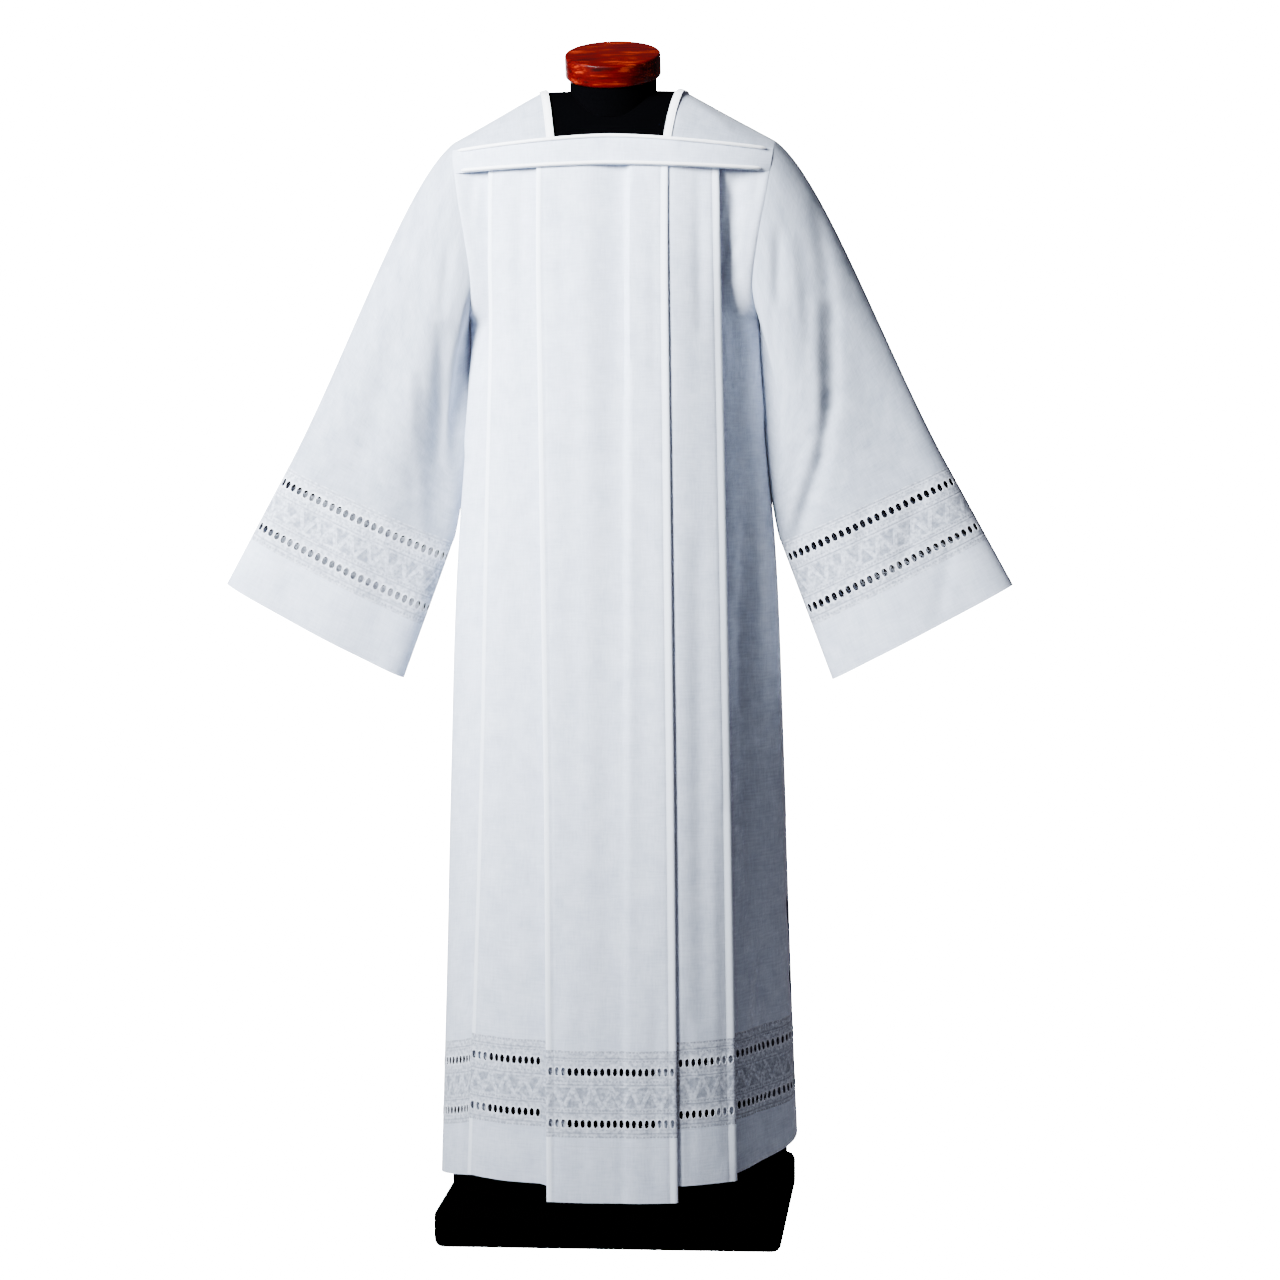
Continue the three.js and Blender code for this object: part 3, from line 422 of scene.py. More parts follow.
CENTRE, CENTRE_FOLD, CENTRE_UNDER, TIER_BEND, TIER, TIER_FOLD, TIER_UNDER, SIDE_BEND, SIDE = range(9)
BAND_BOTTOM = {"centre": 1388, "fall": 9}
BAND_TOP = {"centre": 1427, "fall": 18}
BAND_HALF = 205
BACK_SEAM_Z = 1372
LAP_HEIGHT = 8
HEM_EDGE, LACE_BOTTOM, LACE_TOP = 66, 149, 260
LIFT = {"centre": 0, "tier": 10, "left": 20, "right": -24}
RISE = {"centre": 0, "tier": 20, "left": 51, "right": -4}
TIER_SHOWN = 0.25
SIDE_SHOWN = 0.2
NOT_A_FOLD = 99.0
EDGE_SEWN = 8.5
RIGHT_EDGE_NARROWER = 1.6
HOLLOW_RISES, HOLLOW_FALLS = (-31, 50), (22, 8)
BESIDE_RISES = {"left": (0.22, 0.07), "right": (0.0, 0.12)}
BESIDE_FALLS = (0.28, 0.45)
EDGE_ROLL = {"high": 0.5, "at": 2.0, "wide": 2.2}
EDGE_DIP = {"deep": 0.4, "at": EDGE_SEWN, "wide": 1.3}
SIDE_LAYERS_END, SIDE_CREASES_END, SIDE_INSIDE_ENDS = (0.4, 0.6), (0.55, 0.4), (0.8, 0.2)
NEAR_ARMPIT = 60

# %% [markdown]
# A column of a panel's grid belongs to one part of the path, and has a place from 0 to 1 in
# it. From these come its distance from the middle, the layer that it lies in, and how far it
# is from a pleat's edge, at every height.

# %% Points of a folded panel
def edge_at(key, z, face, half):
    """Half width of the centre pleat or the second tier. The front's pleats lean sideways."""
    if face == BACK:
        return table_at(BACK_EDGES, key, z)
    return np.where(half > 0, table_at(LEFT_EDGES, key, z), table_at(RIGHT_EDGES, key, z))


def pleat_x_and_level(path, z, face):
    """Place across the panel and layer, counted inwards, for every part but the side's."""
    part, at, half = path
    centre, tier = edge_at("centre", z, face, half), edge_at("tier", z, face, half)
    layer = table_at(PLEATS, "layer", z)
    r = layer / 2
    bulge, step = r * np.sin(np.pi * at), (1 - np.cos(np.pi * at)) / 2
    under_c, under_t = centre - UNDER_CENTRE + r, tier - UNDER_TIER + r
    parts = [part == k for k in range(SIDE)]
    x = np.select(parts, [
        (centre - r) * at, centre - r + bulge, mix(centre - r, under_c, at), under_c - bulge,
        mix(under_c, tier - r, at), tier - r + bulge, mix(tier - r, under_t, at), under_t - bulge,
    ])
    level = np.select(parts, [0, step, 1, 1 + step, 2, 2 + step, 3, 3 + step], 4.0)
    gap = np.select(
        [part == CENTRE, part == TIER, (part == CENTRE_FOLD) | (part == TIER_FOLD)],
        [(1 - at) * (centre - r), (1 - at) * (tier - r - under_c), -bulge], NOT_A_FOLD,
    )
    return x, level, gap, under_t


def pleat_points(path, z, face, creases=(), lift=0.0):
    """Points of a folded panel, with the distance of each from the nearest pleat's edge."""
    part, at, half = path
    x, level, gap, under_t = pleat_x_and_level(path, z, face)
    edge = np.where(z > ARMPIT_Z, arm_x(z), body_wide(z))
    turn = np.where(
        part == SIDE, mix(turn_of(under_t, z), turn_of(edge, z), at), turn_of(np.maximum(x, 0), z),
    )
    px, py, out_x, out_y = section_point(turn, z, face, half)
    held = np.where(part == SIDE, 1 - ramp(at, *SIDE_LAYERS_END), 1.0)
    tuck = table_at(PLEATS, "tuck", z) * clamp01(level - 3)
    slope = ramp(px, *HOLLOW_RISES) * (1 - ramp(px, *HOLLOW_FALLS))
    hollow = table_at(PLEATS, "hollow", z) * slope * (part == CENTRE)
    beside = np.where(half > 0, table_at(BESIDE, "left", z), table_at(BESIDE, "right", z))
    beside = beside * (1 - ramp(at, *BESIDE_FALLS)) * (part == TIER)
    beside = beside * np.where(
        half > 0, ramp(at, *BESIDE_RISES["left"]), ramp(at, *BESIDE_RISES["right"]),
    )
    roll = EDGE_ROLL["high"] * np.exp(-((gap - EDGE_ROLL["at"]) / EDGE_ROLL["wide"]) ** 2)
    roll = roll - EDGE_DIP["deep"] * np.exp(-((gap - EDGE_DIP["at"]) / EDGE_DIP["wide"]) ** 2)
    above = ramp(z, ARMPIT_Z - NEAR_ARMPIT, NEAR_ARMPIT) * (part == SIDE)
    at_arm = 1 - above * ramp(at, *SIDE_CREASES_END)
    at_seam = 1 - above * ramp(at, *SIDE_INSIDE_ENDS)
    depth = table_at(PLEATS, "inside", z) * at_seam
    depth = depth + (level * table_at(PLEATS, "layer", z) + tuck) * held
    depth = depth + hollow + beside - roll + creased(creases, px, z) * at_arm - lift
    py = py + np.where(part == SIDE, face * SIDE_SEAM * at, 0.0)
    gap = gap * np.where(half < 0, RIGHT_EDGE_NARROWER, 1.0)
    return np.stack([px - out_x * depth, py - out_y * depth, z], -1), gap

# %% [markdown]
# The whole path is a left and a right half, joined at the middle. More columns are given to
# the stretches near an edge, where the sewing pulls the cloth into a small roll.

# %% The path across a panel
def half_path(stops):
    part = np.concatenate([np.full(len(places), kind) for kind, places in stops])
    return part, np.concatenate([np.asarray(places, float) for _, places in stops])


def whole_path(left_stops, right_stops):
    """The path across a full panel, from the (part, places) stops of its halves."""
    (part, at), (right_part, right_at) = half_path(left_stops), half_path(right_stops)
    half = np.concatenate([-np.ones(len(right_part) - 1), np.ones(len(part))])
    return np.concatenate([right_part[:0:-1], part]), np.concatenate([right_at[:0:-1], at]), half


def between(start, stop, count):
    return np.linspace(start, stop, count + 1)


ROUND = between(0, 1, 6)[1:-1]
PANEL_STOPS = [
    (CENTRE, [*between(0, 0.86, 18), *between(0.88, 1, 7)]), (CENTRE_FOLD, ROUND),
    (CENTRE_UNDER, between(0, 1, 3)), (TIER_BEND, ROUND),
    (TIER, [0, 0.08, 0.16, *between(0.22, 0.86, 17), *between(0.88, 1, 7)]), (TIER_FOLD, ROUND),
    (TIER_UNDER, between(0, 1, 3)), (SIDE_BEND, ROUND),
    (SIDE, between(0, 1, 36)),
]
panel_path = whole_path(PANEL_STOPS, PANEL_STOPS)

# %% [markdown]
# The hem and the lace step up where a pleat lies behind another. The chest band's edges fall
# a little towards the armholes.

# %% Lines across the panels
def hem_step(steps, path):
    """How far a column's hem or lace is raised: level on the pleats, sloping at the side."""
    part, at, half = path
    centre, tier = steps["centre"], steps["tier"]
    side = np.where(half > 0, steps["left"], steps["right"])
    return np.select(
        [part <= CENTRE_FOLD, part == CENTRE_UNDER, part == TIER_BEND, part == TIER, part < SIDE],
        [centre, mix(centre, tier, at / 2), mix(centre, tier, 0.5),
         mix(centre, tier, clamp01(0.5 + 0.5 * at / TIER_SHOWN)), tier],
        mix(tier, side, at),
    )


def band_z(edge, x):
    return edge["centre"] - edge["fall"] * clamp01(np.abs(x) / BAND_HALF) ** 1.5


print("columns across a panel:", len(panel_path[0]))

# %% [markdown]
# The creases of the front: drag lines from the armholes and the band's ends, a small crossed
# wrinkle near the left armhole, and long soft waves in the side panels. Those of the back are
# of the same kind, and no two are alike.

# %% Creases of the panels
FRONT_CREASES = [
    (167, 1374, 160, 1275, 9, 3.0), (186, 1366, 198, 1262, 7, -2.0), (150, 1296, 176, 1246, 4, 3.0),
    (176, 1298, 150, 1250, 4, 2.6), (170, 1254, 180, 1120, 7, 3.0), (150, 1378, 171, 1330, 6, 2.5),
    (-186, 1372, -194, 1258, 7, 5.0), (-170, 1376, -165, 1290, 8, 2.5), (-188, 1240, -178, 1100, 8, 4.0),
    (118, 1372, 122, 1180, 9, 2.2), (-114, 1376, -120, 1150, 10, 2.6), (-60, 1370, -57, 1180, 7, 1.0),
    (60, 1350, 63, 1100, 9, 1.4), (199, 1050, 190, 700, 12, 4.0), (185, 820, 205, 330, 13, 5.0),
    (-200, 1010, -192, 640, 13, 4.0), (-190, 700, -210, 300, 12, 4.6), (215, 520, 226, 150, 10, 3.6),
    (-44, 1180, -40, 520, 14, 1.6), (48, 1000, 44, 380, 15, 1.8), (-4, 900, 4, 240, 17, 1.6),
    (118, 900, 124, 300, 14, 2.2), (-124, 1000, -132, 380, 15, 2.4), (150, 560, 158, 120, 9, 2.0),
    (-62, 420, -66, 90, 9, 1.6), (66, 330, 60, 90, 9, 1.6), (-150, 420, -160, 90, 9, 1.8),
    (226, 430, 204, 275, 6, 4.0), (214, 380, 196, 268, 5, -2.4), (228, 330, 214, 255, 5, 3.0),
    (230, 190, 200, 150, 7, 2.6), (-214, 420, -206, 290, 8, 3.0), (20, 300, 24, 80, 10, 1.3),
    (-28, 330, -30, 90, 10, 1.2), (104, 300, 110, 90, 8, 1.3),
]
BACK_CREASES = [
    (170, 1358, 178, 1240, 8, 5.0), (-168, 1356, -180, 1220, 9, 5.0), (150, 1362, 158, 1290, 6, 2.5),
    (-150, 1360, -149, 1270, 7, 2.6), (176, 1230, 184, 1050, 8, 4.0), (-178, 1210, -186, 1010, 9, 4.2),
    (112, 1366, 116, 1120, 10, 2.4), (-118, 1362, -124, 1180, 9, 2.4), (52, 1340, 50, 1010, 12, 1.6),
    (-48, 1330, -46, 1060, 11, 1.6), (196, 1010, 204, 560, 13, 4.4), (-194, 960, -206, 500, 13, 4.6),
    (206, 620, 218, 160, 12, 4.6), (-210, 560, -222, 150, 12, 4.2), (8, 1000, 2, 330, 17, 1.8),
    (46, 760, 52, 150, 14, 1.8), (-52, 820, -50, 210, 14, 1.8), (124, 860, 134, 250, 14, 2.4),
    (-120, 900, -130, 300, 14, 2.4), (-156, 460, -162, 100, 9, 2.0), (152, 400, 160, 90, 9, 2.0),
]
print("creases:", len(FRONT_CREASES), "in front,", len(BACK_CREASES), "behind")

# %% [markdown]
# A panel could be one solid with grooves for its pleats, but a pleat is a layer of cloth over
# another. So the rows of each panel all follow the folded path, from its lace up to the band
# in front or to the yoke's seam behind.

# %% Hang the panels
BELOW_BAND_Z = 1385


def hang_panel(name, face, rows, creases):
    columns = len(panel_path[0])
    below_band = np.full(columns, float(BELOW_BAND_Z))
    x_at_top = pleat_points(panel_path, below_band, face)[0][..., 0]
    top = LAP_HEIGHT + (band_z(BAND_BOTTOM, x_at_top) if face == FRONT else BACK_SEAM_Z)
    low = LACE_TOP + hem_step(LIFT, panel_path)
    z = mix(low, top, np.linspace(0, 1, rows)[:, None]) + np.zeros(columns)
    points, gap = pleat_points(panel_path, z, face, creases)
    return hang(name, points, facts={"fold_gap": gap})


front_panel = hang_panel("front_panel_cloth", FRONT, 158, FRONT_CREASES)
back_panel = hang_panel("back_panel_cloth", BACK, 140, BACK_CREASES)

# %% [markdown]
# The plain bands below the lace are the same cloth, folded into the same pleats. Their edge
# steps up on the second pleats and slopes up at the sides, as the gown is shorter there.

# %% Hang the hems
def hang_hem(name, face, rows, creases):
    low = HEM_EDGE + hem_step(RISE, panel_path)
    top = LACE_BOTTOM + hem_step(LIFT, panel_path)
    z = mix(low, top, np.linspace(0, 1, rows)[:, None])
    points, gap = pleat_points(panel_path, z, face, creases)
    from_edge = z - low
    return hang(name, points, facts={"fold_gap": gap, "edge_gap": from_edge})


front_hem = hang_hem("front_hem_cloth", FRONT, 16, FRONT_CREASES)
back_hem = hang_hem("back_hem_cloth", BACK, 14, BACK_CREASES)

# %% [markdown]
# ## Lace with punched eyelets
# The lace is a strip with two rows of oval eyelets, each with a raised rim of stitches. A
# texture with transparent dots would do from afar, but real holes show what is behind them
# from any side. Each eyelet has eight columns and eight rows of the grid to itself: the middle
# four by four cells are taken out, and the rings of points round them are moved onto ovals.

# %% Lace helpers
CELL = 8
PITCH = 8.8
HOLE = (3.1, 5.4)
RIM = (3.9, 6.4)
BLOCK_HALF = 7.0
RIM_LIFT = 0.45
PLAIN_ROWS = {"below": 4, "between": 14, "above": 5}


def lace_rows(centres, height):
    """Heights of the grid's rows, and for each the place in its block of eyelets, or none."""
    heights, places = [], []

    def plain(start, stop, count, with_ends):
        values = np.linspace(start, stop, count + 1)
        values = values if with_ends == "start" else values[1:]
        for value in (values[:-1] if with_ends != "stop" else values):
            heights.append(value)
            places.append(None)

    def block(centre):
        for j in range(CELL + 1):
            heights.append(centre + (j / 4 - 1) * BLOCK_HALF)
            places.append(j - 4)

    plain(0, centres[0] - BLOCK_HALF, PLAIN_ROWS["below"], "start")
    block(centres[0])
    plain(centres[0] + BLOCK_HALF, centres[1] - BLOCK_HALF, PLAIN_ROWS["between"], "middle")
    block(centres[1])
    plain(centres[1] + BLOCK_HALF, height, PLAIN_ROWS["above"], "stop")
    return np.array(heights), places


def punch(heights, places, cells):
    """Moves of the grid's points onto the eyelets' ovals, the cells to keep, and the rims.

    cells has for each column its place in a cell, from 0 to 8, or -1 where none is punched.
    Sideways moves are in cells, and upward ones in millimetres."""
    shape = (len(heights), len(cells))
    aside, up, rim = np.zeros(shape), np.zeros(shape), np.zeros(shape)
    keep = np.ones((shape[0] - 1, shape[1] - 1), bool)
    for r, q in enumerate(places):
        if q is None:
            continue
        for c, i in enumerate(cells):
            if i < 0:
                continue
            p = i - 4
            ring = max(abs(p), abs(q))
            if ring in (2, 3):
                wide, high = HOLE if ring == 2 else RIM
                angle = math.atan2(q, p)
                aside[r, c] = wide * math.cos(angle) / PITCH - p / CELL
                up[r, c] = high * math.sin(angle) - q / 4 * BLOCK_HALF
                rim[r, c] = 1.0 if ring == 2 else 0.8
            if -2 <= p < 2 and -2 <= q < 2 and places[r + 1] is not None:
                keep[r, c] = False
    return aside, up, rim, keep

# %% [markdown]
# The hem's lace is folded along the same path as the panel above it, but its columns are those
# of the eyelets: so many for the box pleat, for the second pleat and for the side.

# %% Columns of the hem's lace
HEM_EYELETS = (18, 84)
HEM_ROWS, HEM_PLACES = lace_rows(HEM_EYELETS, LACE_TOP - LACE_BOTTOM)


def cell_stops(part, start, count):
    """A stretch of the path with eight columns for each of its eyelets."""
    return part, np.linspace(start, 1, count * CELL + 1)


def lace_stops(counts):
    """Half a lace's stops for its counts of eyelets, each column's place in a cell, and widths."""
    centre, tier, side = counts
    stops = [
        cell_stops(CENTRE, 0, centre), (CENTRE_FOLD, ROUND), (CENTRE_UNDER, between(0, 1, 2)),
        (TIER_BEND, ROUND), (TIER, [0, 0.12]), cell_stops(TIER, TIER_SHOWN, tier), (TIER_FOLD, ROUND),
        (TIER_UNDER, between(0, 1, 2)), (SIDE_BEND, ROUND), (SIDE, [0, 0.1]),
        cell_stops(SIDE, SIDE_SHOWN, side),
    ]
    cells, width = [], []
    for kind, places in stops:
        punched = len(places) > CELL
        count = len(places)
        cells += [k % CELL if punched and 0 < k < count - 1 else -1 for k in range(count)]
        width += [(places[CELL] - places[0]) if punched else 0.0] * count
    return stops, np.array(cells), np.array(width)


def lace_path(left_counts, right_counts):
    """The path of a hem's lace, the place of each column in its cell, and a cell's width."""
    left_stops, left_cells, left_width = lace_stops(left_counts)
    right_stops, right_cells, right_width = lace_stops(right_counts)
    flipped = np.where(right_cells < 0, -1, (CELL - right_cells) % CELL)
    return (
        whole_path(left_stops, right_stops),
        np.concatenate([flipped[:0:-1], left_cells]),
        np.concatenate([-right_width[:0:-1], left_width]),
    )

# %% [markdown]
# Behind, only the box pleat's eyelets are real holes, as in the solids. The others are given
# back to the cloth and painted as dark ovals: painted shade where the inside would show.

# %% Hang the hem's lace
def fill_holes(keep, columns):
    """Gives the cells of the eyelets in some columns back to the cloth, and marks their place."""
    # The marked cells are painted nearly black later, as painted shade of the inside.
    hole = np.zeros((keep.shape[0] + 1, keep.shape[1] + 1))
    filled = (columns[:-1] | columns[1:])[None, :]
    for r, c in np.argwhere(~keep & filled):
        hole[r:r + 2, c:c + 2] = 1.0
    keep |= filled
    return hole


def hang_hem_lace(name, face, creases, left_counts, right_counts):
    (part, at, half), cells, width = lace_path(left_counts, right_counts)
    aside, up, rim, keep = punch(HEM_ROWS, HEM_PLACES, cells)
    at = at + aside * width
    path = (part, at, half)
    lift = hem_step(LIFT, path)
    z = LACE_BOTTOM + HEM_ROWS[:, None] + up + lift
    points, gap = pleat_points(path, z, face, creases, lift=RIM_LIFT * rim)
    across = run_lengths(points, 1)
    across = across - across[len(across) // 2]
    pattern = np.stack([across + 0 * z, z - lift - LACE_BOTTOM - np.mean(HEM_EYELETS)], -1)
    facts = {"fold_gap": gap, "rim": rim}
    if face == BACK:
        # Eyelets behind the second pleats and sides are marked for painted shade.
        facts["painted_shade_hole"] = fill_holes(keep, part > CENTRE_FOLD)
    return hang(name, points, keep, facts, pattern=pattern, even=False)


FRONT_LEFT_EYELETS, FRONT_RIGHT_EYELETS, BACK_EYELETS = (11, 9, 14), (9, 12, 14), (10, 10, 14)
front_lace = hang_hem_lace(
    "front_lace_cloth", FRONT, FRONT_CREASES, FRONT_LEFT_EYELETS, FRONT_RIGHT_EYELETS,
)
back_lace = hang_hem_lace("back_lace_cloth", BACK, BACK_CREASES, BACK_EYELETS, BACK_EYELETS)

# %% [markdown]
# ## Yoke, band and piping
# The yoke lies over both shoulders and down the back, with a square neck. Its rows run from
# the front seam up to the shoulder ridge and down to the back seam, and its columns from one
# armhole to the other, with the neck's sides on two of them, so that the neck is cut along
# the grid. The chest band is a doubled strip in front, with a cord of piping at both edges.

# %% Yoke
NECK_FRONT_X, NECK_BACK_X = 70, 80
NECK_COLUMNS, OUTER_COLUMNS = 2, 5
BACK_NECK_ROW = 1.5
INSIDE_POINT = (0, 0, 1100)
ROW_LENGTH = 260


def mantle_points(x, turn, face):
    """Points over the shoulders, turned from the armpit's height up to the ridge."""
    z = mix(ARMPIT_Z, ridge_z(x), np.sin(turn) ** (2 / SHOULDER_POWER))
    deep = body_deep(z, face) * across_share(x, z)
    return np.stack([x + 0 * z, face * deep * np.cos(turn) ** (2 / SHOULDER_POWER), z], -1)


def mantle_turn(x, z):
    up = clamp01((z - ARMPIT_Z) / (ridge_z(x) - ARMPIT_Z))
    return np.arcsin(up ** (SHOULDER_POWER / 2))


def yoke_points(rows, columns):
    """Points of the yoke. Rows go from 0 at the front seam over 1, the ridge, to 2 behind."""
    face = np.where(rows <= 1, FRONT, BACK)[:, None]
    row = np.where(rows <= 1, rows, 2 - rows)[:, None]
    neck = mix(np.where(face == FRONT, NECK_FRONT_X, NECK_BACK_X), RIDGE_NECK_X, row)

    def turn_at(x):
        seam = np.where(face == FRONT, band_z(BAND_TOP, x), BACK_SEAM_Z)
        return mix(mantle_turn(x, seam), np.pi / 2, row)

    end = np.full(neck.shape, float(BAND_HALF))
    for _ in range(12):
        end = arm_x(mantle_points(end, turn_at(end), face)[..., 2])
    out = np.abs(columns)
    beyond = mix(neck, end, (out - NECK_COLUMNS) / OUTER_COLUMNS)
    x = np.sign(columns) * np.where(out <= NECK_COLUMNS, neck * out / NECK_COLUMNS, beyond)
    return mantle_points(x, turn_at(x), face)


YOKE_RIDGES = [
    (92, 1478, 150, 1436, 7, 1.6), (-92, 1478, -158, 1432, 8, 1.8), (120, 1440, 178, 1420, 6, 1.3),
    (-118, 1446, -176, 1424, 6, 1.2), (84, 1446, 128, 1430, 5, 0.9), (-90, 1452, -120, 1430, 5, 0.9),
]
rows = np.concatenate([
    between(0, 1, 27), between(1, BACK_NECK_ROW, 15)[1:], between(BACK_NECK_ROW, 2, 18)[1:],
])
inner = between(-NECK_COLUMNS, NECK_COLUMNS, 32)
outer = between(NECK_COLUMNS, NECK_COLUMNS + OUTER_COLUMNS, 34)[1:]
columns = np.concatenate([-outer[::-1], inner, outer])


def yoke_surface(rows, columns, lift=0.0):
    """The yoke's points with its soft ridges, moved out from the form by a lift."""
    flat = yoke_points(rows, columns)
    normal = normals_of(flat, flat - INSIDE_POINT)
    ridges = creased(YOKE_RIDGES, flat[..., 0], flat[..., 2])
    return flat + normal * (ridges + lift)[..., None], normal


yoke_grid, _ = yoke_surface(rows, columns)
in_neck = (np.abs(columns[:-1] + columns[1:]) / 2 < NECK_COLUMNS)[None, :]
before_back = (rows[:-1] < BACK_NECK_ROW - 0.001)[:, None]
neck_gap = (rows[:, None] - BACK_NECK_ROW) * ROW_LENGTH
neck_gap = np.where(rows[:, None] >= BACK_NECK_ROW, neck_gap, NOT_A_FOLD)
neck_gap = np.where(np.abs(columns)[None, :] <= NECK_COLUMNS + 0.01, neck_gap, NOT_A_FOLD)
yoke = hang("yoke_cloth", yoke_grid, ~(in_neck & before_back), {"edge_gap": neck_gap})

# %% [markdown]
# The chest band lies across the yoke's front edge and the top of the panel. It is doubled, so
# its wall is thicker, it swells a little, and a row of sewing pulls it down near both edges.

# %% Chest band
BAND_ROWS, BAND_COLUMNS = 14, 120
BAND_HIGH, BAND_WALL, BAND_END_GAP = 39, 1.4, 0.3
BAND_SWELL, BAND_DIP, BAND_SEWN = 0.9, 0.5, 6.5

level = np.linspace(0, 1, BAND_ROWS)[:, None]
end_low, end_high = (edge["centre"] - edge["fall"] for edge in (BAND_BOTTOM, BAND_TOP))
end = arm_x(mix(end_low, end_high, level))
band_x = np.linspace(-1, 1, BAND_COLUMNS)[None, :] * (end - BAND_END_GAP)
band_high = mix(band_z(BAND_BOTTOM, band_x), band_z(BAND_TOP, band_x), level)
band_grid = mantle_points(band_x, mantle_turn(band_x, band_high), FRONT)
band_normal = normals_of(band_grid, band_grid - INSIDE_POINT)
from_edge = np.minimum(level, 1 - level) * BAND_HIGH
swell = BAND_SWELL * np.sin(np.pi * level) ** 0.5
swell = swell - BAND_DIP * np.exp(-(from_edge - BAND_SEWN) ** 2 / 2)
front_band = hang(
    "front_band_cloth", band_grid + band_normal * swell[..., None],
    facts={"edge_gap": from_edge + 0 * band_x}, wall=BAND_WALL,
)

# %% [markdown]
# Piping is a cord in a bias strip. A curve with a bevel would make one too, but a tube that is
# rolled from a grid, round a line that lies on the band, can taper to a sewn-down end.

# %% Piping
PIPING = {"radius": 2.3, "proud": 2.6, "from_edge": 2.5, "points": 110}
PIPING_LOWER_HALF, PIPING_UPPER_HALF = 192, 198
TAPER_POINTS, TAPER_END = 2, 0.45


def tube(name, line, radius, around=12):
    """A closed round tube along a line of points, modelled from a grid like the cloth."""
    angle = np.linspace(0, 2 * np.pi, around + 1)
    along = np.gradient(line, axis=0)
    along /= np.linalg.norm(along, axis=1, keepdims=True)
    side = np.cross(along, (0.0, 0.0, 1.0))
    side /= np.linalg.norm(side, axis=1, keepdims=True)
    rise = np.cross(side, along)
    from_end = np.minimum(np.arange(len(line)), np.arange(len(line))[::-1])
    taper = np.minimum(1, from_end / TAPER_POINTS + TAPER_END)
    ring = side[:, None] * np.cos(angle)[:, None] + rise[:, None] * np.sin(angle)[:, None]
    points = line[:, None] + radius * taper[:, None, None] * ring
    piece, up, across = flat_cloth(name, around + 1, len(line))
    piece.data.vertices.foreach_set("co", (points[up, across] * MM).ravel())
    piece.data.update()
    bpy.ops.object.mode_set(mode="EDIT")
    bpy.ops.mesh.select_all(action="SELECT")
    bpy.ops.mesh.remove_doubles(threshold=0.00002)
    bpy.ops.mesh.fill_holes(sides=around + 2)
    bpy.ops.mesh.select_all(action="SELECT")
    bpy.ops.mesh.normals_make_consistent(inside=False)
    bpy.ops.object.mode_set(mode="OBJECT")
    bpy.ops.object.shade_smooth_by_angle(angle=math.radians(60))
    print(f"{name}: {len(piece.data.polygons)} faces")
    return piece


def piping(name, edge, up, reach):
    """A cord along the band's edge, a little above or below it, from -reach to reach."""
    x = np.linspace(-reach, reach, PIPING["points"])
    z = band_z(edge, x) + up * PIPING["from_edge"]
    flat = mantle_points(x, mantle_turn(x, z), FRONT)[None]
    low = mantle_points(x, mantle_turn(x, z - 1), FRONT)
    rise = flat[0] - low
    along = np.gradient(flat[0], axis=0)
    normal = np.cross(along, rise)
    normal /= np.linalg.norm(normal, axis=1, keepdims=True)
    normal *= -np.sign(normal[:, 1:2])
    return tube(name, flat[0] + normal * PIPING["proud"], PIPING["radius"])


piping_lower = piping("piping_lower_cord", BAND_BOTTOM, 1, PIPING_LOWER_HALF)
piping_upper = piping("piping_upper_cord", BAND_TOP, -1, PIPING_UPPER_HALF)

# %% [markdown]
# Both sides of the neck are faced with a narrow strip of firm white tape, laid on the yoke
# from the band over the ridge to the neck's back edge.

# %% Neck facings
FACING = {"wide": 10, "inset": 0.2, "columns": 7, "proud": 1.8, "crown": 0.35, "wall": 1.0}
NEXT_COLUMN = 0.2


def facing(name, side):
    rows = np.concatenate([between(0, 1, 40), between(1, BACK_NECK_ROW, 22)[1:]])
    beside_neck = np.array([NECK_COLUMNS, NECK_COLUMNS + NEXT_COLUMN])
    base, normal = yoke_surface(rows, beside_neck, lift=FACING["proud"])
    step = base[:, 1] - base[:, 0]
    step /= np.linalg.norm(step, axis=1, keepdims=True)
    across = np.linspace(FACING["inset"], FACING["wide"], FACING["columns"])
    points = base[:, 0][:, None] + step[:, None] * across[:, None]
    crown = FACING["crown"] * np.sin(np.pi * across / FACING["wide"])
    points = points + normal[:, :1] * crown[:, None]
    points[..., 0] *= side
    edge = np.minimum(across, FACING["wide"] - across) + 0 * points[..., 0]
    return hang(name, points, facts={"edge_gap": edge}, wall=FACING["wall"])


facing_left = facing("neck_facing_left_tape", 1)
facing_right = facing("neck_facing_right_tape", -1)

# %% [markdown]
# ## Sleeves
# A sleeve is a wide tube, flat as it hangs. Its rings glide from the armhole to the lace along
# cubic curves, and the lace and the cuff follow straight edges below that. The folds of each
# sleeve are its own: the wearer's left one has a sharp fold that runs down to the inner corner
# of its lace.

# %% Sleeve shapes
CUFF_OUTER = {"x": 517, "z": 844, "dx": -0.4805, "dz": 0.877}
CUFF_INNER = {"x": 283, "z": 720, "dx": -0.3815, "dz": 1.0213}
CUFF_DEPTH, SLEEVE_DEPTH = 36, 44
CUFF_BAND, SLEEVE_LACE = 69, 176
SLEEVE_HALF_WIDTH = 115
STRAIGHT_SHARE = 0.12
SHOULDER_Z = 1419
LEAVES = {"across": (140, 185), "deep": 40, "down": (-440, -130)}
ARRIVES = {"outer": 500, "inner": 225}
SLEEVE_FOLDS = ((0.3, 0.1, 9), (0.62, 0.12, 7))
FOLD_KEPT = {"sleeve": 0.6, "cuff": 0.5}
HUG = {"deep": 10.0, "wide": 0.07}
ARMHOLE_FADE = 0.16
BEHIND = {"kept": 0.8, "slant": 9.0}
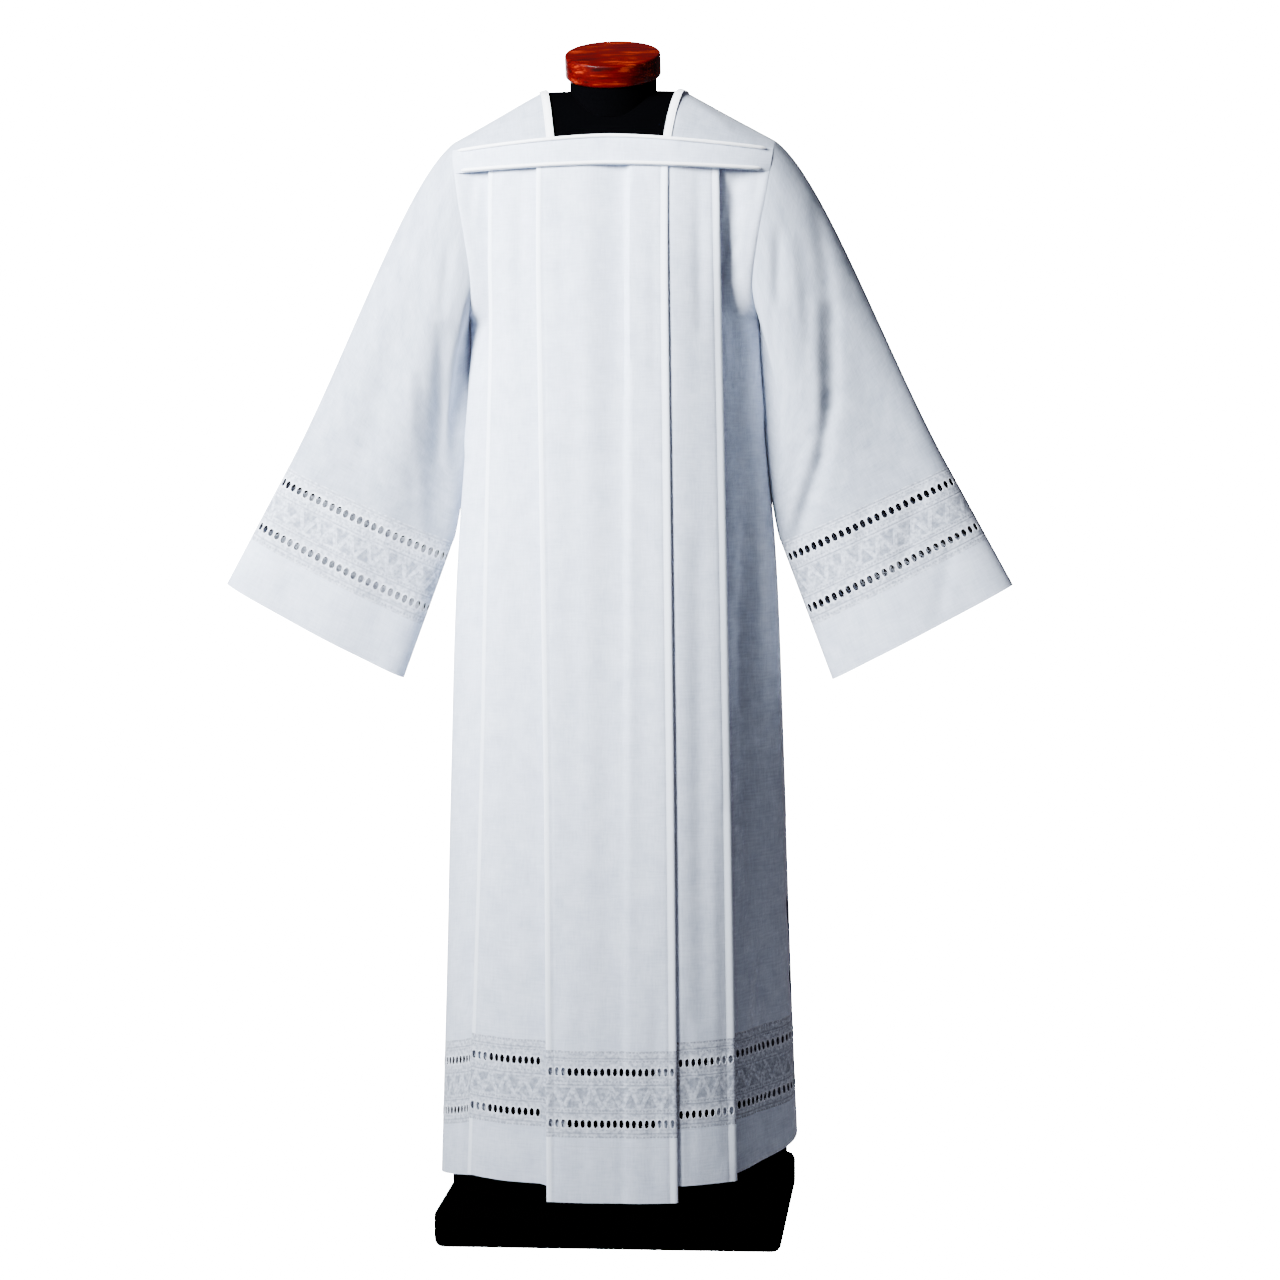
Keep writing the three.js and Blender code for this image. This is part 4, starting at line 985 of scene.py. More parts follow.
LEFT_CREASES = [
    (266, 1330, 284, 1190, 11, 4.5), (284, 1200, 283, 1080, 11, 6.0), (283, 1090, 270, 1000, 10, 7.0),
    (272, 1010, 236, 905, 9, 7.0), (262, 1210, 266, 1060, 9, -3.0), (258, 1030, 222, 915, 8, -3.0),
    (330, 1230, 384, 1020, 40, 11.0), (214, 1300, 216, 1214, 8, 4.5),
    (232, 1290, 244, 1170, 8, -2.0), (206, 1190, 220, 1040, 9, 4.0), (350, 1180, 430, 1020, 16, 3.0),
    (300, 1190, 340, 1060, 18, 2.6), (400, 980, 372, 860, 12, 2.4), (330, 960, 318, 850, 12, 2.2),
    (438, 900, 420, 800, 10, 1.8), (268, 1380, 300, 1320, 9, 2.6),
]
RIGHT_CREASES = [
    (206, 1160, 224, 905, 30, 20.0), (262, 1120, 250, 900, 10, -3.0),
    (246, 1352, 300, 1236, 13, 4.2), (300, 1236, 366, 1086, 15, 3.4), (206, 1300, 220, 1200, 8, 4.6),
    (222, 1180, 232, 1010, 9, 5.0), (246, 1150, 262, 960, 11, 3.0), (286, 1170, 330, 1000, 16, 2.8),
    (352, 1160, 420, 1010, 17, 3.0), (392, 960, 368, 850, 12, 2.2), (322, 950, 310, 830, 12, 2.2),
    (262, 1384, 296, 1330, 9, 2.2), (440, 910, 424, 810, 10, 1.6),
]

# %% [markdown]
# Columns at even angles would crowd at the ends of a flat oval. So its length is added up in
# small steps, and each column is set at an even share of it.

# %% Points of a sleeve
OVAL_STEPS = 400

fine = between(0, np.pi, OVAL_STEPS)
middle = (fine[1:] + fine[:-1]) / 2
oval = np.concatenate([[0], np.cumsum(np.hypot(
    SLEEVE_HALF_WIDTH * np.sin(middle), SLEEVE_DEPTH * np.cos(middle),
))])


def even_angle(share):
    """The angle at which a share of half an oval's length is reached."""
    return np.interp(share, oval / oval[-1], fine)


def fold_depth(at):
    return sum(depth * np.exp(-((at - place) / width) ** 2) for place, width, depth in SLEEVE_FOLDS)


def cuff_points(angle, up, face):
    """The sleeve's lower part, at a distance up from the cuff's edge."""
    outer = [CUFF_OUTER["x"] + CUFF_OUTER["dx"] * up, CUFF_OUTER["z"] + CUFF_OUTER["dz"] * up]
    inner = [CUFF_INNER["x"] + CUFF_INNER["dx"] * up, CUFF_INNER["z"] + CUFF_INNER["dz"] * up]
    t = (1 - np.cos(angle)) / 2
    deep = mix(CUFF_DEPTH, SLEEVE_DEPTH, up / SLEEVE_LACE)
    y = face * (deep * np.sin(angle) - fold_depth(angle / np.pi) * FOLD_KEPT["cuff"])
    return np.stack([mix(inner[0], outer[0], t), y, mix(inner[1], outer[1], t)], -1)


def sleeve_points(share, step, face):
    """The sleeve's upper part, from the armhole (0) to the lace (1)."""
    z = mix(ARMPIT_Z, SHOULDER_Z, (1 - np.cos(np.pi * share)) / 2)
    ends = (share < 1e-6) | (share > 1 - 1e-6)
    x = arm_x(z)
    start = np.stack([x, np.where(ends, 0.0, body_y(x, z, face)), z], -1)
    stop = cuff_points(even_angle(share), np.full(share.shape, float(SLEEVE_LACE)), face)
    straight = stop - start
    free = smooth(share / STRAIGHT_SHARE)[..., None]
    leave = np.stack([
        mix(*LEAVES["across"], share), face * LEAVES["deep"] * np.sin(np.pi * share),
        mix(*LEAVES["down"], share ** 3),
    ], -1)
    outer = np.array([-CUFF_OUTER["dx"], 0, -CUFF_OUTER["dz"]]) * ARRIVES["outer"]
    inner = np.array([-CUFF_INNER["dx"], 0, -CUFF_INNER["dz"]]) * ARRIVES["inner"]
    reach = mix(straight, mix(inner, outer, share[..., None]), free)
    leave = mix(straight, leave, free)
    s = step[..., None]
    points = mix(start, stop, s * s * (3 - 2 * s)) + leave * s * (1 - s) ** 2 - reach * s * s * (1 - s)
    points[..., 1] -= face * fold_depth(share) * FOLD_KEPT["sleeve"] * np.sin(np.pi * step) ** 2
    return points


def around_sleeve(count):
    """Shares and faces of a ring's columns: up the front, then down the back to its start."""
    share = np.concatenate([between(0, 1, count), between(1, 0, count)[1:]])
    face = np.concatenate([np.full(count + 1, FRONT), np.full(count, BACK)])
    return share, face


def creased_sleeve(points, share, face, creases, side, lift=0.0, step=1.0):
    """Creases and lifts of a sleeve's points, which fade at its edges and its armhole.

    Halfway down, its inner edge is drawn in to the body. The creases behind are shallower and
    lie further in than those in front."""
    fade = np.sin(np.pi * share) ** 0.5 * smooth(step / ARMHOLE_FADE)
    drawn_in = np.abs(np.sin(np.pi * step)) ** 0.6 * np.exp(-(share / HUG["wide"]) ** 2)
    points[..., 0] -= HUG["deep"] * drawn_in
    behind = np.where(face == FRONT, 1.0, BEHIND["kept"])
    slant = np.where(face == FRONT, 0.0, BEHIND["slant"])
    depth = creased(creases, points[..., 0] + slant, points[..., 2]) * behind - lift
    points[..., 1] -= face * depth * fade
    points[..., 0] *= side
    return points


print("half the way round a sleeve, mm:", round(float(oval[-1])))

# %% [markdown]
# A sleeve's grid is as wide as the way round it, and its last column is merged with its first.
# The cuff has the same columns, so that the two look like one length of cloth with lace let in.

# %% Hang the sleeves and cuffs
HALF_ROUND, SLEEVE_GRID_ROWS, CUFF_GRID_ROWS = 62, 92, 13


def hang_sleeve(name, side, creases):
    share, face = around_sleeve(HALF_ROUND)
    step = np.linspace(0, 1, SLEEVE_GRID_ROWS)[:, None] + 0 * share
    share, face = share + 0 * step, face + 0 * step
    points = sleeve_points(share, step, face)
    points = creased_sleeve(points, share, face, creases, side, step=step)
    return hang(name, points, closed=True)


def hang_cuff(name, side, creases):
    share, face = around_sleeve(HALF_ROUND)
    up = np.linspace(0, CUFF_BAND, CUFF_GRID_ROWS)[:, None] + 0 * share
    share, face = share + 0 * up, face + 0 * up
    points = creased_sleeve(cuff_points(even_angle(share), up, face), share, face, creases, side)
    return hang(name, points, facts={"edge_gap": up}, closed=True)


sleeve_left = hang_sleeve("sleeve_left_cloth", 1, LEFT_CREASES)
sleeve_right = hang_sleeve("sleeve_right_cloth", -1, RIGHT_CREASES)
cuff_left = hang_cuff("cuff_left_cloth", 1, LEFT_CREASES)
cuff_right = hang_cuff("cuff_right_cloth", -1, RIGHT_CREASES)

# %% [markdown]
# The sleeve's lace is the hem's, in one ring, with twenty-seven eyelets in each row on both
# its front and its back. Those behind could be punched too, but they would line up with the
# front's and let the light through, so they are painted as dark ovals with raised rims: painted
# shade where the inside of the sleeve would show.

# %% Hang the sleeves' lace
SLEEVE_EYELETS = 27
SLEEVE_ROWS = (21, 87)
ring_rows, ring_places = lace_rows(SLEEVE_ROWS, SLEEVE_LACE - CUFF_BAND)


def hang_sleeve_lace(name, side, creases):
    share, face = around_sleeve(SLEEVE_EYELETS * CELL)
    cells = np.arange(len(share)) % CELL
    cells[[0, SLEEVE_EYELETS * CELL, -1]] = -1
    aside, up, rim, keep = punch(ring_rows, ring_places, cells)
    # Eyelets behind are marked for painted shade, drawn nearly black by the lace material.
    painted_shade_hole = fill_holes(keep, face == BACK)
    way = np.where(face == FRONT, 1, -1)
    share = clamp01(share + aside * way / SLEEVE_EYELETS)
    height = CUFF_BAND + ring_rows[:, None] + up + 0 * share
    face = face + 0 * share
    points = cuff_points(even_angle(share), height, face)
    points = creased_sleeve(points, share, face, creases, side, lift=RIM_LIFT * rim)
    pattern = np.stack([
        run_lengths(points, 1) + 0 * height, height - CUFF_BAND - np.mean(SLEEVE_ROWS),
    ], -1)
    facts = {"rim": rim, "painted_shade_hole": painted_shade_hole}
    return hang(name, points, keep, facts, pattern=pattern, closed=True, even=False)


lace_left = hang_sleeve_lace("sleeve_lace_left_cloth", 1, LEFT_CREASES)
lace_right = hang_sleeve_lace("sleeve_lace_right_cloth", -1, RIGHT_CREASES)

# %% [markdown]
# ## The dress form
# Only the neck shows, in the gown's square neck: black jersey over a moulded torso, with a
# turned and varnished wooden cap. The torso follows the yoke from just under the cloth, so
# that the yoke rests on it. Its sides and its lower end are closed by faces between the front
# and the back. The neck is a cylinder cut off at a slant, and the cap lies on it.

# %% Torso
FORM = {
    "z": (830, 920, 1020, 1120, 1220, 1310, 1372),
    "wide": (148, 148, 142, 148, 156, 164, 174),
    "front": (92, 92, 84, 86, 86, 80, 72),
    "back": (90, 88, 78, 76, 78, 74, 66),
}
FORM_TURN = 1.4
FORM_UNDER = CLOTH_WALL / 2 + 0.9
NECK = {"radius": 56, "y": -6, "bottom": 1450, "top": 1504}
CAP = {"radius": 62, "thick": 30, "edge": 3}
NECK_TILT = 0.32

FORM_COLUMNS, FORM_REACH, FORM_BACK_ROW = 73, 6, 1.75
FORM_SMOOTH, OTHERS_SMOOTH, BLOCK_SMOOTH = 45, 40, 30
NECK_RIM = 1

yoke_columns = np.linspace(-FORM_REACH, FORM_REACH, FORM_COLUMNS)
yoke_rows = np.concatenate([between(0, 1, 18), between(1, FORM_BACK_ROW, 14)[1:]])
over, over_normal = yoke_surface(yoke_rows, yoke_columns)
over = over - over_normal * FORM_UNDER
turn = yoke_columns / FORM_REACH * FORM_TURN


def torso_rows(heights, face):
    z = heights[:, None] + 0 * turn
    x = np.sign(turn) * table_at(FORM, "wide", z) * np.sin(np.abs(turn)) ** (2 / SECTION_POWER)
    deep = table_at(FORM, "front" if face == FRONT else "back", z)
    return np.stack([x, face * deep * np.cos(turn) ** (2 / SECTION_POWER), z], -1)


heights = between(FORM["z"][0], FORM["z"][-1], 28)
torso_grid = np.concatenate([torso_rows(heights, FRONT), over, torso_rows(heights[::-1], BACK)])
form_torso, up, across = flat_cloth("form_torso_jersey", torso_grid.shape[1], torso_grid.shape[0])
form_torso.data.vertices.foreach_set("co", (torso_grid[up, across] * MM).ravel())
form_torso.data.update()
bpy.ops.object.mode_set(mode="EDIT")
bpy.ops.mesh.select_all(action="SELECT")
bpy.ops.mesh.fill_holes(sides=0)
bpy.ops.mesh.select_all(action="SELECT")
bpy.ops.mesh.quads_convert_to_tris()
bpy.ops.mesh.normals_make_consistent(inside=False)
bpy.ops.object.mode_set(mode="OBJECT")
bpy.ops.object.select_all(action="DESELECT")
bpy.ops.mesh.primitive_cylinder_add(
    vertices=72, radius=NECK["radius"] * MM, depth=(NECK["top"] - NECK["bottom"]) * MM,
    location=(0, NECK["y"] * MM, (NECK["top"] + NECK["bottom"]) / 2 * MM),
)
neck = bpy.context.object
bpy.ops.object.transform_apply(location=True, rotation=True, scale=True)
for vertex in neck.data.vertices:
    if vertex.co.z > (NECK["top"] - NECK_RIM) * MM:
        vertex.co.z += math.tan(NECK_TILT) * (vertex.co.y - NECK["y"] * MM)
form_torso.select_set(True)
bpy.context.view_layer.objects.active = form_torso
bpy.ops.object.join()
bpy.ops.object.shade_smooth_by_angle(angle=math.radians(FORM_SMOOTH))
print("torso faces:", len(form_torso.data.polygons))

# %% [markdown]
# The cap is a turned disc of wood, the pole a steel tube with a wider collar at its foot, and
# the base a lacquered block with an oval riser. They could be spun from a profile, but they
# are plain shapes, so each starts as a primitive at its own size, and the Bevel modifier
# rounds the edges of the cap and the base.

# %% Cap, pole and base
ROUNDING_STEPS = 5
CAP_GAP = 0.3
COLLAR = {"high": (18, 22), "up_to": 19, "wider": 1.5}
RISER_SUNK, RISER_EDGE = 2, 3


def settle(piece, name, bevel=None, angle=OTHERS_SMOOTH):
    """Gives a primitive its name and its rounded edges, and leaves it at the origin."""
    piece.name = name
    bpy.ops.object.transform_apply(location=True, rotation=True, scale=True)
    if bevel:
        round_edges = piece.modifiers.new("rounding", "BEVEL")
        round_edges.width = bevel * MM
        round_edges.segments = ROUNDING_STEPS
        round_edges.limit_method = "ANGLE"
        bpy.ops.object.modifier_apply(modifier="rounding")
    bpy.ops.object.shade_smooth_by_angle(angle=math.radians(angle))
    return piece


lean = Vector((0, -math.sin(NECK_TILT), math.cos(NECK_TILT)))
cap_middle = Vector((0, NECK["y"], NECK["top"])) + lean * (CAP["thick"] / 2 + CAP_GAP)
bpy.ops.object.select_all(action="DESELECT")
bpy.ops.mesh.primitive_cylinder_add(
    vertices=128, radius=CAP["radius"] * MM, depth=CAP["thick"] * MM,
    location=cap_middle * MM, rotation=(NECK_TILT, 0, 0),
)
form_cap = settle(bpy.context.object, "form_cap_wood", CAP["edge"])

POLE_RADIUS = 16
POLE_FOOT, POLE_TOP = 150.3, 829.7
bpy.ops.object.select_all(action="DESELECT")
bpy.ops.mesh.primitive_cylinder_add(
    vertices=48, radius=POLE_RADIUS * MM, depth=(POLE_TOP - POLE_FOOT) * MM,
    location=(0, 0, (POLE_TOP + POLE_FOOT) / 2 * MM),
)
form_pole = settle(bpy.context.object, "form_pole_tube")
bpy.ops.object.mode_set(mode="EDIT")
for high in COLLAR["high"]:
    bpy.ops.mesh.select_all(action="SELECT")
    bpy.ops.mesh.bisect(plane_co=(0, 0, (POLE_FOOT + high) * MM), plane_no=(0, 0, 1))
bpy.ops.object.mode_set(mode="OBJECT")
for vertex in form_pole.data.vertices:
    if vertex.co.z < (POLE_FOOT + COLLAR["up_to"]) * MM:
        vertex.co.x *= COLLAR["wider"]
        vertex.co.y *= COLLAR["wider"]

BASE = {"wide": 224, "deep": 190, "top": 52, "round": 12}
RISER = {"wide": 222, "deep": 130, "top": 150}
bpy.ops.object.select_all(action="DESELECT")
bpy.ops.mesh.primitive_cube_add(size=1, location=(0, 0, BASE["top"] / 2 * MM))
form_base = bpy.context.object
form_base.scale = (2 * BASE["wide"] * MM, 2 * BASE["deep"] * MM, BASE["top"] * MM)
settle(form_base, "form_base_block", BASE["round"], BLOCK_SMOOTH)
bpy.ops.object.select_all(action="DESELECT")
bpy.ops.mesh.primitive_cylinder_add(
    vertices=96, radius=1, depth=(RISER["top"] - BASE["top"] + RISER_SUNK) * MM,
    location=(0, 0, (RISER["top"] + BASE["top"] - RISER_SUNK) / 2 * MM),
)
riser = bpy.context.object
bpy.ops.object.transform_apply(location=True, rotation=True, scale=True)
for vertex in riser.data.vertices:
    x, y = vertex.co.x, vertex.co.y
    stretch = (abs(x) ** SECTION_POWER + abs(y) ** SECTION_POWER) ** (-1 / SECTION_POWER)
    vertex.co.x, vertex.co.y = x * stretch * RISER["wide"] * MM, y * stretch * RISER["deep"] * MM
settle(riser, "riser", RISER_EDGE, BLOCK_SMOOTH)
form_base.select_set(True)
bpy.context.view_layer.objects.active = form_base
bpy.ops.object.join()
print("base faces:", len(form_base.data.polygons))

# %% [markdown]
# ## Finishes
# The cloth is a plain cotton and linen weave. Its threads are drawn on the UV map, which is
# the cloth's flat size in metres, so they keep their width on every piece. The group below
# puts out a tone and a height that change over the cloth, and each material has its own
# colour, roughness and sheen.

# %% Node helpers
def group(name, inputs, outputs):
    """A new shader node group, with its input and output nodes."""
    tree = bpy.data.node_groups.new(name, "ShaderNodeTree")
    for label, kind in inputs:
        tree.interface.new_socket(name=label, in_out="INPUT", socket_type=kind)
    for label, kind in outputs:
        tree.interface.new_socket(name=label, in_out="OUTPUT", socket_type=kind)
    return tree, tree.nodes.new("NodeGroupInput"), tree.nodes.new("NodeGroupOutput")


def value_of(tree, item, socket):
    """Sets a node's socket to a number or a colour, or links it to another socket."""
    if isinstance(item, (int, float, tuple)):
        socket.default_value = item
    else:
        tree.links.new(item, socket)


def math_of(tree, operation, *items):
    node = tree.nodes.new("ShaderNodeMath")
    node.operation = operation
    for item, socket in zip(items, node.inputs):
        value_of(tree, item, socket)
    return node.outputs[0]


def noise_of(tree, vector, scale, detail=3.0, stretch=(1.0, 1.0, 1.0)):
    place = tree.nodes.new("ShaderNodeMapping")
    place.inputs["Scale"].default_value = stretch
    tree.links.new(vector, place.inputs["Vector"])
    noise = tree.nodes.new("ShaderNodeTexNoise")
    noise.inputs["Scale"].default_value = scale
    noise.inputs["Detail"].default_value = detail
    tree.links.new(place.outputs[0], noise.inputs["Vector"])
    return noise.outputs[0]


def range_of(tree, value, low, high, to_low=0.0, to_high=1.0):
    node = tree.nodes.new("ShaderNodeMapRange")
    for item, socket in zip((value, low, high, to_low, to_high), node.inputs):
        value_of(tree, item, socket)
    return node.outputs[0]


def colour_mix(tree, factor, first, second):
    node = tree.nodes.new("ShaderNodeMix")
    node.data_type = "RGBA"
    value_of(tree, factor, node.inputs[0])
    value_of(tree, first, node.inputs[6])
    value_of(tree, second, node.inputs[7])
    return node.outputs[2]


def fact_of(tree, name):
    node = tree.nodes.new("ShaderNodeAttribute")
    node.attribute_name = name
    return node.outputs["Fac"]


# %% [markdown]
# A plain weave has threads that cross over and under one another. Two sine waves, one along
# and one across, make the crossings, and noise that is stretched along each of them makes the
# thicker slubs. An image of cloth would repeat itself, and the noise doesn't.

# %% The weave group
weave, weave_in, weave_out = group(
    "plain_weave",
    [("Vector", "NodeSocketVector"), ("Thread", "NodeSocketFloat")],
    [("Tone", "NodeSocketFloat"), ("Height", "NodeSocketFloat")],
)
apart = weave.nodes.new("ShaderNodeSeparateXYZ")
weave.links.new(weave_in.outputs["Vector"], apart.inputs[0])
threads = []
for axis in (0, 1):
    phase = math_of(weave, "DIVIDE", apart.outputs[axis], weave_in.outputs["Thread"])
    threads.append(math_of(weave, "SINE", math_of(weave, "MULTIPLY", phase, 2 * math.pi)))
crossing = math_of(weave, "MULTIPLY", *threads)
slub_across = noise_of(weave, weave_in.outputs["Vector"], 420, 2, (0.12, 1.0, 1.0))
slub_up = noise_of(weave, weave_in.outputs["Vector"], 420, 2, (1.0, 0.12, 1.0))
slubs = math_of(weave, "ADD", slub_across, slub_up)
mottle = noise_of(weave, weave_in.outputs["Vector"], 38, 5, (1.0, 0.8, 1.0))
slub_tone, mottle_tone = math_of(weave, "MULTIPLY", slubs, 0.32), math_of(weave, "MULTIPLY", mottle, 0.5)
tone = math_of(weave, "ADD", slub_tone, mottle_tone)
weave.links.new(tone, weave_out.inputs["Tone"])
bumps = math_of(weave, "ADD", math_of(weave, "MULTIPLY", crossing, 0.22), slubs)
weave.links.new(bumps, weave_out.inputs["Height"])
print("weave group:", len(weave.nodes), "nodes")

# %% [markdown]
# Rows of sewing run at a fixed distance from a fold or an edge. The cloth's points know that
# distance in millimetres, so one group draws a dashed row on any piece.

# %% The sewing group
sewing, sewing_in, sewing_out = group(
    "row_of_stitches",
    [("Gap", "NodeSocketFloat"), ("Along", "NodeSocketFloat"), ("Row", "NodeSocketFloat")],
    [("Stitch", "NodeSocketFloat")],
)
off_row = math_of(sewing, "SUBTRACT", sewing_in.outputs["Gap"], sewing_in.outputs["Row"])
near = math_of(sewing, "ABSOLUTE", off_row)
on_row = range_of(sewing, near, 0.35, 0.8, 1.0, 0.0)
beat = math_of(sewing, "FRACT", math_of(sewing, "DIVIDE", sewing_in.outputs["Along"], 0.0032))
from_middle = math_of(sewing, "ABSOLUTE", math_of(sewing, "SUBTRACT", beat, 0.5))
dash = range_of(sewing, from_middle, 0.32, 0.42, 1.0, 0.0)
sewing.links.new(math_of(sewing, "MULTIPLY", on_row, dash), sewing_out.inputs["Stitch"])
print("sewing group:", len(sewing.nodes), "nodes")

# %% [markdown]
# The pleated cloth, the hems, the band and the cuffs are crisp linen, and each pleat's edge has
# a painted highlight, a brighter strip of colour along the fold. The yoke and the sleeves are
# the same linen painted greyer, as painted shade. The cords and the facings are a bright tape.
# One function makes them all, as they differ only in colour, thread and rows of sewing, whose
# dashes are darkened with painted shade.

# %% Cloth material
def place_group(tree, name, **items):
    node = tree.nodes.new("ShaderNodeGroup")
    node.node_tree = bpy.data.node_groups[name]
    for label, item in items.items():
        value_of(tree, item, node.inputs[label])
    return node.outputs


def new_material(name, roughness, sheen=0.0, coat=0.0):
    material = bpy.data.materials.new(name)
    material.use_nodes = True
    shader = material.node_tree.nodes["Principled BSDF"]
    shader.inputs["Roughness"].default_value = roughness
    shader.inputs["Sheen Weight"].default_value = sheen
    shader.inputs["Coat Weight"].default_value = coat
    return material, material.node_tree, shader


def bump(tree, shader, height, strength, distance):
    node = tree.nodes.new("ShaderNodeBump")
    node.inputs["Strength"].default_value = strength
    node.inputs["Distance"].default_value = distance
    tree.links.new(height, node.inputs["Height"])
    tree.links.new(node.outputs[0], shader.inputs["Normal"])


def cloth_map(tree, name="UVMap"):
    node = tree.nodes.new("ShaderNodeUVMap")
    node.uv_map = name
    return node.outputs[0]


def white_cloth(name, light, dark, thread=0.0009, rows=(), painted_highlight_edge=0.0):
    """A white cloth with rows of sewing, given as (fact, distance, along axis)."""
    material, tree, shader = new_material(name, 0.88, sheen=0.12)
    vector = cloth_map(tree)
    cloth = place_group(tree, "plain_weave", Vector=vector, Thread=thread)
    parts = tree.nodes.new("ShaderNodeSeparateXYZ")
    tree.links.new(vector, parts.inputs[0])
    colour = colour_mix(tree, range_of(tree, cloth["Tone"], 0.3, 0.9), dark, light)
    height = cloth["Height"]
    for fact, distance, axis in rows:
        stitch = place_group(
            tree, "row_of_stitches", Gap=fact_of(tree, fact), Along=parts.outputs[axis], Row=distance,
        )["Stitch"]
        # Each stitch is darkened with painted shade, as well as sunk by the bump below.
        colour = colour_mix(tree, math_of(tree, "MULTIPLY", stitch, 0.4), colour, (0.50, 0.52, 0.60, 1))
        height = math_of(tree, "SUBTRACT", height, math_of(tree, "MULTIPLY", stitch, 2.0))
    # A painted highlight: a brighter strip of colour along each pleat's folded edge.
    if painted_highlight_edge:
        painted_highlight = range_of(tree, fact_of(tree, "fold_gap"), painted_highlight_edge - 2.0, painted_highlight_edge, 1.0, 0.0)
        painted_highlight = math_of(tree, "MULTIPLY", painted_highlight, 0.7)
        colour = colour_mix(tree, painted_highlight, colour, (0.84, 0.90, 1.0, 1))
    tree.links.new(colour, shader.inputs["Base Color"])
    bump(tree, shader, height, 0.35, 0.0003)
    return material


LINEN_LIGHT = (0.70, 0.755, 0.87, 1)
LINEN_DARK = (0.38, 0.43, 0.54, 1)
# Painted shade: the yoke and the sleeves take the same linen in these greyer colours.
PAINTED_SHADE_LINEN_LIGHT = (0.50, 0.545, 0.635, 1)
PAINTED_SHADE_LINEN_DARK = (0.22, 0.255, 0.33, 1)
linen_pleated = white_cloth(
    "linen_pleated", LINEN_LIGHT, LINEN_DARK, rows=[("fold_gap", EDGE_SEWN, 1)], painted_highlight_edge=EDGE_SEWN,
)
linen_hem = white_cloth(
    "linen_hem", LINEN_LIGHT, LINEN_DARK,
    rows=[("fold_gap", EDGE_SEWN, 1), ("edge_gap", 3.0, 0), ("edge_gap", 71.0, 0)],
    painted_highlight_edge=EDGE_SEWN,
)
linen_plain = white_cloth("linen_plain", LINEN_LIGHT, LINEN_DARK, rows=[("edge_gap", 3.5, 0)])
linen_painted_shade = white_cloth("linen_painted_shade", PAINTED_SHADE_LINEN_LIGHT, PAINTED_SHADE_LINEN_DARK, rows=[("edge_gap", 3.5, 0)])
tape_white = white_cloth(
    "tape_white", (0.97, 0.98, 1.0, 1), (0.90, 0.92, 0.97, 1), 0.0006, rows=[("edge_gap", 1.6, 1)],
)
print("cloth materials:", len(bpy.data.materials))

# %% [markdown]
# Between its rows of eyelets the lace has a zigzag ribbon with triangles of net above and
# below it, and fine drawn threads run along both sides of each row. All of it is drawn from
# the second UV map, which counts millimetres along the lace and up from its middle line.

# %% The lace's drawn threads
lace_group, lace_in, lace_out = group(
    "drawn_threads", [("Vector", "NodeSocketVector")],
    [("Net", "NodeSocketFloat"), ("Line", "NodeSocketFloat")],
)
along_up = lace_group.nodes.new("ShaderNodeSeparateXYZ")
lace_group.links.new(lace_in.outputs["Vector"], along_up.inputs[0])
run, rise = along_up.outputs[0], along_up.outputs[1]
ZIGZAG_PITCH, ZIGZAG_TALL, ZIGZAG_LOW = 25.0, 26.0, 14.0
NET_WAVE = 2.6
swing = math_of(lace_group, "PINGPONG", math_of(lace_group, "ADD", run, 1000.0), ZIGZAG_PITCH / 2)
climb = math_of(lace_group, "MULTIPLY", swing, ZIGZAG_TALL / (ZIGZAG_PITCH / 2))
ribbon = math_of(lace_group, "SUBTRACT", climb, ZIGZAG_LOW)
off_ribbon = math_of(lace_group, "ABSOLUTE", math_of(lace_group, "SUBTRACT", rise, ribbon))
in_band = range_of(lace_group, math_of(lace_group, "ABSOLUTE", rise), 12.0, 13.5, 1.0, 0.0)
beside_ribbon = range_of(lace_group, off_ribbon, 5.0, 7.5)
waves = [
    math_of(lace_group, "SINE", math_of(lace_group, "MULTIPLY", axis, NET_WAVE)) for axis in (run, rise)
]
holes = math_of(lace_group, "MULTIPLY", *waves)
net = math_of(lace_group, "MULTIPLY", math_of(lace_group, "MULTIPLY", in_band, beside_ribbon),
              range_of(lace_group, holes, -0.6, 0.6, 0.55, 1.0))
lace_group.links.new(net, lace_out.inputs["Net"])
line = None
for place, half, gaps in (
    (58.0, 0.7, 0.6), (50.0, 0.6, 1.0), (46.5, 0.5, 0.6), (20.5, 0.7, 0.6), (16.0, 0.5, 1.0),
    (-16.5, 0.7, 0.6), (-20.0, 0.5, 1.0), (-45.5, 0.6, 1.0), (-50.0, 0.7, 0.6),
):
    gap = math_of(lace_group, "ABSOLUTE", math_of(lace_group, "SUBTRACT", rise, place))
    mark = range_of(lace_group, gap, half, half + 0.8, 1.0, 0.0)
    beat = math_of(lace_group, "FRACT", math_of(lace_group, "DIVIDE", run, 4.4))
    mark = math_of(lace_group, "MULTIPLY", mark, math_of(lace_group, "LESS_THAN", beat, gaps))
    line = mark if line is None else math_of(lace_group, "MAXIMUM", line, mark)
lace_group.links.new(line, lace_out.inputs["Line"])
print("lace group:", len(lace_group.nodes), "nodes")

# %% [markdown]
# The lace's colour is greyer than the cloth's, in soft patches. Its net is painted darker still,
# as painted shade seen through the open net, and its drawn threads are darker too. The stitched
# rims of its eyelets are pale again, and the eyelets drawn behind are painted nearly black, as
# painted shade of the inside seen through a hole.

